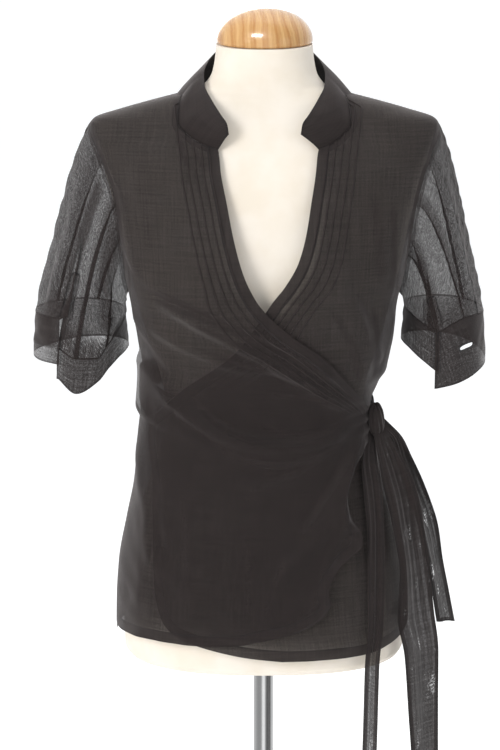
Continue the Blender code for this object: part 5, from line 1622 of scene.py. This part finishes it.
def sash_sheet():
    """The sash round the back of the waist, gathered in lengthwise pleats that deepen toward the knot."""
    knot_phi, speed, _, _ = knot_place()
    turn = np.linspace(0, 1, SASH_GRID[1])
    path = curves(BAND, BAND_COLUMNS, "turn")
    v = np.linspace(-0.5, 0.5, SASH_GRID[0])[:, None]
    z = path["middle"](turn) + path["width"](turn) * v
    start = phi_at(LEFT_EDGE_X(z[:, :1]) - 2.2 * SEAM, z[:, :1])
    end = knot_phi + BAND_STOP / speed - 2 * math.pi
    phi = start + (end - start) * turn
    ripple = BAND_RIPPLE * (1 + np.cos(3 * math.pi * v)) * smooth_step(turn, 0.2, 0.3)
    out = (CLOTH + BAND_OVER) * smooth_step(turn, *BAND_OUT)
    lift = np.maximum(out, 0.0004) + ripple * smooth_step(-turn, -1.0, -0.9)
    drift = 0.5 * np.sin(5.1 * turn + 0.6) + 0.3 * np.sin(13.0 * turn)
    pleat = np.sin(2 * math.pi * (4.2 * v + 0.35 * drift)) * np.cos(2 * math.pi * (1.4 * v - 1.1 * turn))
    pleat = 0.5 + 0.5 * pleat
    depth = 0.0011 * smooth_step(turn, 0.12, 0.3)
    grid, normal = laid(phi, z, lift + depth * pleat + BAND_THICKNESS / 2 - CLOTH / 2)
    hem, run = distance_map(grid, np.concatenate([grid[0], grid[-1][::-1]]))
    maps = {
        "across": lengths_along(grid, 1), "up": lengths_along(grid, 0), "hem": hem, "run": run, "seam": 1.0,
        # painted shade: the troughs between the pleats count up to 0.8 plies more, on top of the band's own
        # ply
        "plies_and_shade": (1.0 + 0.8 * (1 - pleat)) * smooth_step(turn, 0.10, 0.2),
    }
    made = cloth("sash_back_voile", grid, normal, maps, finish_of("tie_voile"))
    return put(made, ["sash_back"])


def tie_sheet(name, rows, lines, plies):
    """A hanging tie: its table gives both edges on the way down; pleats fan out from the knot and fade.

    Lines is how many pleats lie across it, and plies how much more cloth than one ply.
    """
    _, _, middle, axes = knot_place()
    start = dict(zip(TIE_START_COLUMNS, TIE_STARTS[name]))
    way = unit(np.array([start["x"], start["y"], start["z"]]))
    reach = 1 / np.linalg.norm((axes @ way) / np.array(KNOT_RADII))
    top = middle + way * (reach - 0.0015)
    first = np.array([[row["x0"], row["y0"], row["z"]] for row in named(rows, TIE_COLUMNS)])
    second = np.array([[row["x1"], row["y1"], row["z"]] for row in named(rows, TIE_COLUMNS)])
    across = unit(second[0] - first[0])
    across = unit(across - way * np.dot(across, way))
    first = np.concatenate([[top - across * start["width"] / 2], first])
    second = np.concatenate([[top + across * start["width"] / 2], second])
    t = np.linspace(0, len(first) - 1, TIE_GRID[0])
    smooth = []
    for line in (first, second):
        table = [(i, *point) for i, point in enumerate(line)]
        smooth.append(np.stack([curve(table, ("i", "x", "y", "z"), "i", k)(t) for k in "xyz"], axis=-1))
    s = np.linspace(0, 1, TIE_GRID[1])[None, :, None]
    grid = smooth[0][:, None] + (smooth[1] - smooth[0])[:, None] * s
    face = outward_of(grid, np.broadcast_to(np.array([0.0, -1.0, 0.0]), grid.shape))
    opened = smooth_step(t, 0, 3)[:, None, None]
    share = t[:, None, None] / t[-1]
    wave = TIE_PLEAT[name] * np.sin(2.5 * math.pi * s) * opened
    bend = s + 0.035 * np.sin(7 * share + lines) + 0.02 * np.sin(17 * share)
    fan = 0.5 + 0.5 * np.sin(2 * math.pi * lines * bend)
    fan = fan**1.6 * (1 - 0.75 * smooth_step(share, 0.25, 0.95))
    sway = 0.0016 * np.sin(9.0 * share + 2 * lines) * smooth_step(share, 0.2, 0.6)
    grid = grid + face * (wave + 0.0012 * fan * smooth_step(t, 0, 1)[:, None, None] + sway)
    hem, run = distance_map(grid, np.concatenate([grid[:, 0], grid[-1], grid[::-1, -1]]))
    # painted shade: a ply more along the pleats' troughs darkens them, fading down the tie
    crease = np.exp(-(((fan[..., 0] - 0.15) / 0.18) ** 2)) * (1 - 0.8 * smooth_step(share[..., 0], 0.3, 0.9))
    maps = {
        "across": lengths_along(grid, 1), "up": -lengths_along(grid, 0), "hem": hem, "run": run, "seam": 1.0,
        "plies_and_shade": plies + 1.0 * crease + 1.8 * (1 - smooth_step(share[..., 0], 0.05, 0.62)),
    }
    made = cloth(name + "_voile", grid, face, maps, finish_of("tie_voile"))
    return put(made, [name])


def torso():
    """The form's skin of jersey: the frame's oval sections, with rounded rims and closed ends."""
    low, high = FORM[0][0], FORM[-1][0]
    rows, columns = TORSO_GRID
    z = fine([row[0] for row in FORM], rows)
    phi, height = np.meshgrid(np.arange(columns) * 2 * math.pi / columns, z)
    skin = form_surface(phi, height)
    rim = smooth_step(height, low, low + 0.004)[..., None]
    axis = np.array([0.0, 0.0, 1.0])
    inward = skin * (1 - axis) * -0.0015
    skin = skin + inward * (1 - rim)
    bottom = skin[:1] * (1 - axis) * np.linspace(0, 1, 24)[:-1, None, None] + axis * skin[:1]
    centre = skin[-1].mean(axis=0)
    top = centre + (skin[-1:] - centre) * np.linspace(1, 0, 24)[1:, None, None]
    points = np.concatenate([bottom, skin, top])
    quads = facing(points, grid_faces(len(points), columns, True), points - np.array([0, 0, 1.15]))
    made = mesh_object("form_torso_jersey", points.reshape(-1, 3), quads, weld=True)
    made.data.set_sharp_from_angle(angle=math.radians(50))
    made.data.materials.append(finish_of("jersey_cover"))
    return put(made, ["form_torso"])


def neck_cap():
    """The turned wooden cap: a low dome over a short rounded edge, leaning with the neck."""
    radius, height, rounding = NECK_CAP
    low, high = np.linspace(0, math.pi / 2, 9), np.linspace(0, math.pi / 2, 60)
    edge = [(radius - rounding * (1 - math.sin(a)), rounding * (1 - math.cos(a))) for a in low]
    dome = [(radius * math.cos(a), rounding + (height - rounding) * math.sin(a)) for a in high]
    profile = [(0.0, 0.0)] + edge + dome[1:-1] + [(0.0, height)]
    centre = form_surface(np.array([0.0, math.pi]), FORM[-1][0]).mean(axis=0)
    c, s = math.cos(NECK_TILT), math.sin(NECK_TILT)
    lean = np.array([[1, 0, 0], [0, c, -s], [0, s, c]])
    made = turned("form_neck_cap_wood", profile, 128, finish_of("honey_wood"),
                  lambda points: (points + [0, 0, TOUCH]) @ lean.T + centre)
    return put(made, ["form_neck_cap"])


def pole():
    """The chrome pole, from the base's boss to the form's underside."""
    low = BASE_HEIGHT + BASE_BOSS[1] + TOUCH
    high = FORM[0][0] - TOUCH
    profile = [(0, low), (POLE_RADIUS, low), (POLE_RADIUS, high), (0, high)]
    made = turned("form_pole_chrome", rounded(profile, 0.0006), 96, finish_of("polished_chrome"))
    made.data.set_sharp_from_angle(angle=math.radians(50))
    return put(made, ["form_pole"])


def base():
    """The round plate on the floor: a rounded rim, and a boss with a soft foot for the pole."""
    boss, rise = BASE_BOSS
    top = BASE_HEIGHT
    profile = [
        (0, 0), (BASE_RADIUS, 0), (BASE_RADIUS, top), (boss + 0.005, top + 0.001), (boss, top + 0.005),
        (boss, top + rise), (0, top + rise),
    ]
    made = turned("form_base_chrome", rounded(profile, 0.003), 160, finish_of("polished_chrome"))
    made.data.set_sharp_from_angle(angle=math.radians(50))
    return put(made, ["form_base"])


def settings():
    return bpy.context.scene.wrap_blouse


def colour_setting(name, description, value):
    return FloatVectorProperty(
        name=name, description=description, subtype="COLOR", size=4, min=0.0, max=1.0, default=value
    )


class BlouseSettings(bpy.types.PropertyGroup):
    """Sizes and colours of the cloth, the form and the stand."""

    cloth_colour: colour_setting("Cloth", "Colour of the voile's threads", (0.0150, 0.0112, 0.0107, 1.0))
    thread_colour: colour_setting("Sewing thread", "Colour of the stitches", (0.008, 0.008, 0.009, 1.0))
    see_through: FloatProperty(
        name="See-through", description="Share of light that one ply of the voile lets pass",
        subtype="FACTOR", min=0.0, max=0.9, default=0.135,
    )
    see_through_loose: FloatProperty(
        name="See-through, loose", description="The same where the cloth hangs free and its weave opens",
        subtype="FACTOR", min=0.0, max=0.9, default=0.37,
    )
    sheen: FloatProperty(
        name="Sheen", description="How much the voile's fibres catch light at a slant",
        subtype="FACTOR", min=0.0, max=1.0, default=0.20,
    )
    thread_pitch: FloatProperty(
        name="Thread pitch", description="Distance from one thread of the weave to the next",
        unit="LENGTH", precision=5, min=0.0002, max=0.002, default=0.00056,
    )
    hem_width: FloatProperty(
        name="Hem width", description="Width of the doubled hem of the fronts and back",
        unit="LENGTH", precision=4, min=0.004, max=0.04, default=0.0130,
    )
    stitch_length: FloatProperty(
        name="Stitch length", description="From one stitch to the next",
        unit="LENGTH", precision=4, min=0.001, max=0.006, default=0.0026,
    )
    tuck_rise: FloatProperty(
        name="Pintuck rise", description="How far each pintuck stands off the cloth",
        unit="LENGTH", precision=4, min=0.0, max=0.003, default=0.0012,
    )
    jersey_colour: colour_setting("Jersey", "Colour of the form's jersey cover", (0.765, 0.705, 0.625, 1.0))
    wood_light: colour_setting("Wood", "Lighter colour of the cap's grain", (0.60, 0.36, 0.15, 1.0))
    wood_dark: colour_setting("Wood grain", "Darker colour of the cap's grain", (0.44, 0.21, 0.065, 1.0))
    chrome_roughness: FloatProperty(
        name="Chrome roughness", description="How blurred the stand's reflections are",
        subtype="FACTOR", min=0.0, max=0.6, default=0.10,
    )
    light_power: FloatProperty(
        name="Light", description="Power of the key light; the others keep their share of it",
        unit="POWER", min=0.0, max=200.0, default=35.0,
    )


def area_light(name, place, target, size, power, colour):
    data = bpy.data.lights.new(name, "AREA")
    data.shape, data.size, data.energy, data.color = "DISK", size, power, colour
    made = bpy.data.objects.new(name, data)
    made.location = place
    made.rotation_euler = (Vector(target) - Vector(place)).to_track_quat("-Z", "Y").to_euler()
    bpy.context.scene.collection.objects.link(made)
    return made


def varnish_light():
    """A soft box in front that only reflections show, for the cap's varnish."""
    width, height = VARNISH_SIZE
    made = area_light("varnish", VARNISH_PLACE, VARNISH_TARGET, width, VARNISH_POWER, (1.0, 1.0, 1.0))
    made.data.shape, made.data.size_y = "RECTANGLE", height
    made.visible_diffuse = False
    return made


def studio_bands(net, place):
    """The tones that stand round the studio for its chrome, by the turn of a place about the stand."""
    xyz = net.node("ShaderNodeSeparateXYZ", {0: place}).outputs
    around = net.math("ARCTAN2", xyz[0], net.math("MULTIPLY", xyz[1], -1.0))
    bands = net.node("ShaderNodeValToRGB", {"Fac": net.math("MULTIPLY_ADD", around, 1 / (2 * math.pi), 0.5)})
    stops = bands.color_ramp.elements
    for degrees, _ in STUDIO_BANDS[1:-1]:
        stops.new(degrees / 360 + 0.5)
    for stop, (_, tone) in zip(stops, STUDIO_BANDS):
        stop.color = (tone, tone, tone, 1)
    return bands.outputs["Color"]


def studio_world():
    """White for the camera, and for the rest soft light with darker bands at the sides for the chrome."""
    world = bpy.data.worlds.new("studio")
    bpy.context.scene.world = world
    world.use_nodes = True
    net = Net(world.node_tree)
    net.tree.nodes.clear()
    bands = studio_bands(net, net.node("ShaderNodeTexCoord").outputs["Generated"])
    seen = net.node("ShaderNodeLightPath").outputs
    plain, soft, gloss = (
        net.node("ShaderNodeBackground", {"Color": colour, "Strength": strength}).outputs[0]
        for colour, strength in (
            ((1.0, 1.0, 1.0, 1.0), WORLD_SEEN), ((0.96, 0.98, 1.0, 1.0), WORLD_SOFT), (bands, WORLD_GLOSS)
        )
    )
    inner = net.node("ShaderNodeMixShader", {0: seen["Is Glossy Ray"], 1: soft, 2: gloss}).outputs[0]
    outer = net.node("ShaderNodeMixShader", {0: seen["Is Camera Ray"], 1: inner, 2: plain}).outputs[0]
    net.node("ShaderNodeOutputWorld", {"Surface": outer})


def floor():
    """A wide pale floor, with a trace of unevenness; the chrome sees the studio's bands in it."""
    corners = FLOOR_HALF * np.array([[-1, -1, 0], [1, -1, 0], [1, 1, 0], [-1, 1, 0]], float)
    made = mesh_object("studio_floor", corners, np.array([[0, 1, 2, 3]]))
    material, net, shader = new_material("studio_floor")
    place = net.place()
    tone = net.ramp(net.noise(place, 3.0, 2.0), 0.2, 0.8)
    net.fill(shader, {
        "Base Color": net.mix(tone, (0.90, 0.90, 0.90, 1), (0.94, 0.94, 0.94, 1)),
        "Roughness": 0.9,
        "Emission Color": (1.0, 1.0, 1.0, 1.0),
        "Emission Strength": 0.35,
    })
    glow = net.node("ShaderNodeEmission", {"Color": studio_bands(net, place), "Strength": 1.0}).outputs[0]
    seen = net.node("ShaderNodeLightPath").outputs
    both = net.node("ShaderNodeMixShader", {0: seen["Is Glossy Ray"], 1: shader.outputs[0], 2: glow})
    net.give(net.tree.nodes["Material Output"].inputs["Surface"], both.outputs[0])
    made.data.materials.append(material)
    return made


class BLOUSE_OT_studio(bpy.types.Operator):
    """Adds the floor, the light of the studio and the camera at the photograph's place."""

    bl_idname = "blouse.studio"
    bl_label = "Studio and Camera"

    def execute(self, context):
        floor()
        studio_world()
        power = settings().light_power
        for name, place, target, size, share, colour in STUDIO_LIGHTS:
            made = area_light(name, place, target, size, share * power, colour)
            made.visible_glossy = name not in ("key", "top")
        varnish_light()
        data = bpy.data.cameras.new("photo_camera")
        data.lens, data.sensor_width, data.sensor_fit = CAMERA_LENS, 36.0, "AUTO"
        data.clip_end = 100.0
        camera = bpy.data.objects.new("photo_camera", data)
        camera.location, camera.rotation_euler = CAMERA_PLACE, (math.radians(CAMERA_TURN), 0, 0)
        context.scene.collection.objects.link(camera)
        context.scene.camera = camera
        context.scene.view_settings.view_transform = "Standard"
        return {"FINISHED"}


class BLOUSE_OT_form(bpy.types.Operator):
    """Adds the dress form: its jersey torso, wooden cap, pole and base."""

    bl_idname = "blouse.form"
    bl_label = "Dress Form"

    def execute(self, context):
        torso()
        neck_cap()
        pole()
        base()
        return {"FINISHED"}


class BLOUSE_OT_bodice(bpy.types.Operator):
    """Adds the back and both fronts, with pintucks beside the wrap edges."""

    bl_idname = "blouse.bodice"
    bl_label = "Bodice"

    def execute(self, context):
        back_sheet()
        front_sheet("front_left", LEFT_EDGE_X, LEFT_ROWS, 1, LEFT_FOLDS, LEFT_CREASES,
                    lambda x, z, phi: np.zeros_like(x))
        front_sheet("front_right", RIGHT_EDGE_X, RIGHT_ROWS, -1, RIGHT_FOLDS, RIGHT_CREASES,
                    overlap_lift)
        return {"FINISHED"}


class BLOUSE_OT_collar(bpy.types.Operator):
    """Adds the stand collar."""

    bl_idname = "blouse.collar"
    bl_label = "Collar"

    def execute(self, context):
        collar_sheet()
        return {"FINISHED"}


class BLOUSE_OT_sleeves(bpy.types.Operator):
    """Adds both sleeves, with knife pleats down to the cuffs."""

    bl_idname = "blouse.sleeves"
    bl_label = "Sleeves"

    def execute(self, context):
        sleeve_sheet("sleeve_right", RIGHT_ARM, -1, RIGHT_PLEATS, RIGHT_SHADES)
        sleeve_sheet("sleeve_left", LEFT_ARM, 1, LEFT_PLEATS, LEFT_SHADES)
        return {"FINISHED"}


class BLOUSE_OT_cuffs(bpy.types.Operator):
    """Adds both cuffs, left open, and the left one's buttonhole."""

    bl_idname = "blouse.cuffs"
    bl_label = "Cuffs"

    def execute(self, context):
        cuff_sheet("cuff_right", RIGHT_ARM, -1, False)
        cuff_sheet("cuff_left", LEFT_ARM, 1, True)
        return {"FINISHED"}


class BLOUSE_OT_sash(bpy.types.Operator):
    """Adds the sash round the back of the waist, its knot and the three hanging ends."""

    bl_idname = "blouse.sash"
    bl_label = "Sash"

    def execute(self, context):
        knot_ball()
        sash_sheet()
        tie_sheet("tie_narrow", TIE_NARROW, 3, 0.15)
        tie_sheet("tie_wide", TIE_WIDE, 5, 0.65)
        tie_sheet("tie_short", TIE_SHORT, 4, 0.4)
        return {"FINISHED"}


class BLOUSE_PT_panel(bpy.types.Panel):
    """Lists the settings and the steps that build the blouse and its form."""

    bl_label = "Wrap Blouse"
    bl_idname = "BLOUSE_PT_panel"
    bl_space_type = "VIEW_3D"
    bl_region_type = "UI"
    bl_category = "Blouse"

    def draw(self, context):
        for key in BlouseSettings.__annotations__:
            self.layout.prop(context.scene.wrap_blouse, key)
        for step in STEPS:
            self.layout.operator(step.bl_idname)


STEPS = (
    BLOUSE_OT_studio,
    BLOUSE_OT_form,
    BLOUSE_OT_bodice,
    BLOUSE_OT_collar,
    BLOUSE_OT_sleeves,
    BLOUSE_OT_cuffs,
    BLOUSE_OT_sash,
)
CLASSES = (BlouseSettings,) + STEPS + (BLOUSE_PT_panel,)


def register():
    for item in CLASSES:
        bpy.utils.register_class(item)
    bpy.types.Scene.wrap_blouse = PointerProperty(type=BlouseSettings)


def unregister():
    del bpy.types.Scene.wrap_blouse
    for item in reversed(CLASSES):
        bpy.utils.unregister_class(item)


def main():
    register()
    for step in STEPS:
        area, name = step.bl_idname.split(".")
        getattr(getattr(bpy.ops, area), name)()


if __name__ == "__main__":
    main()
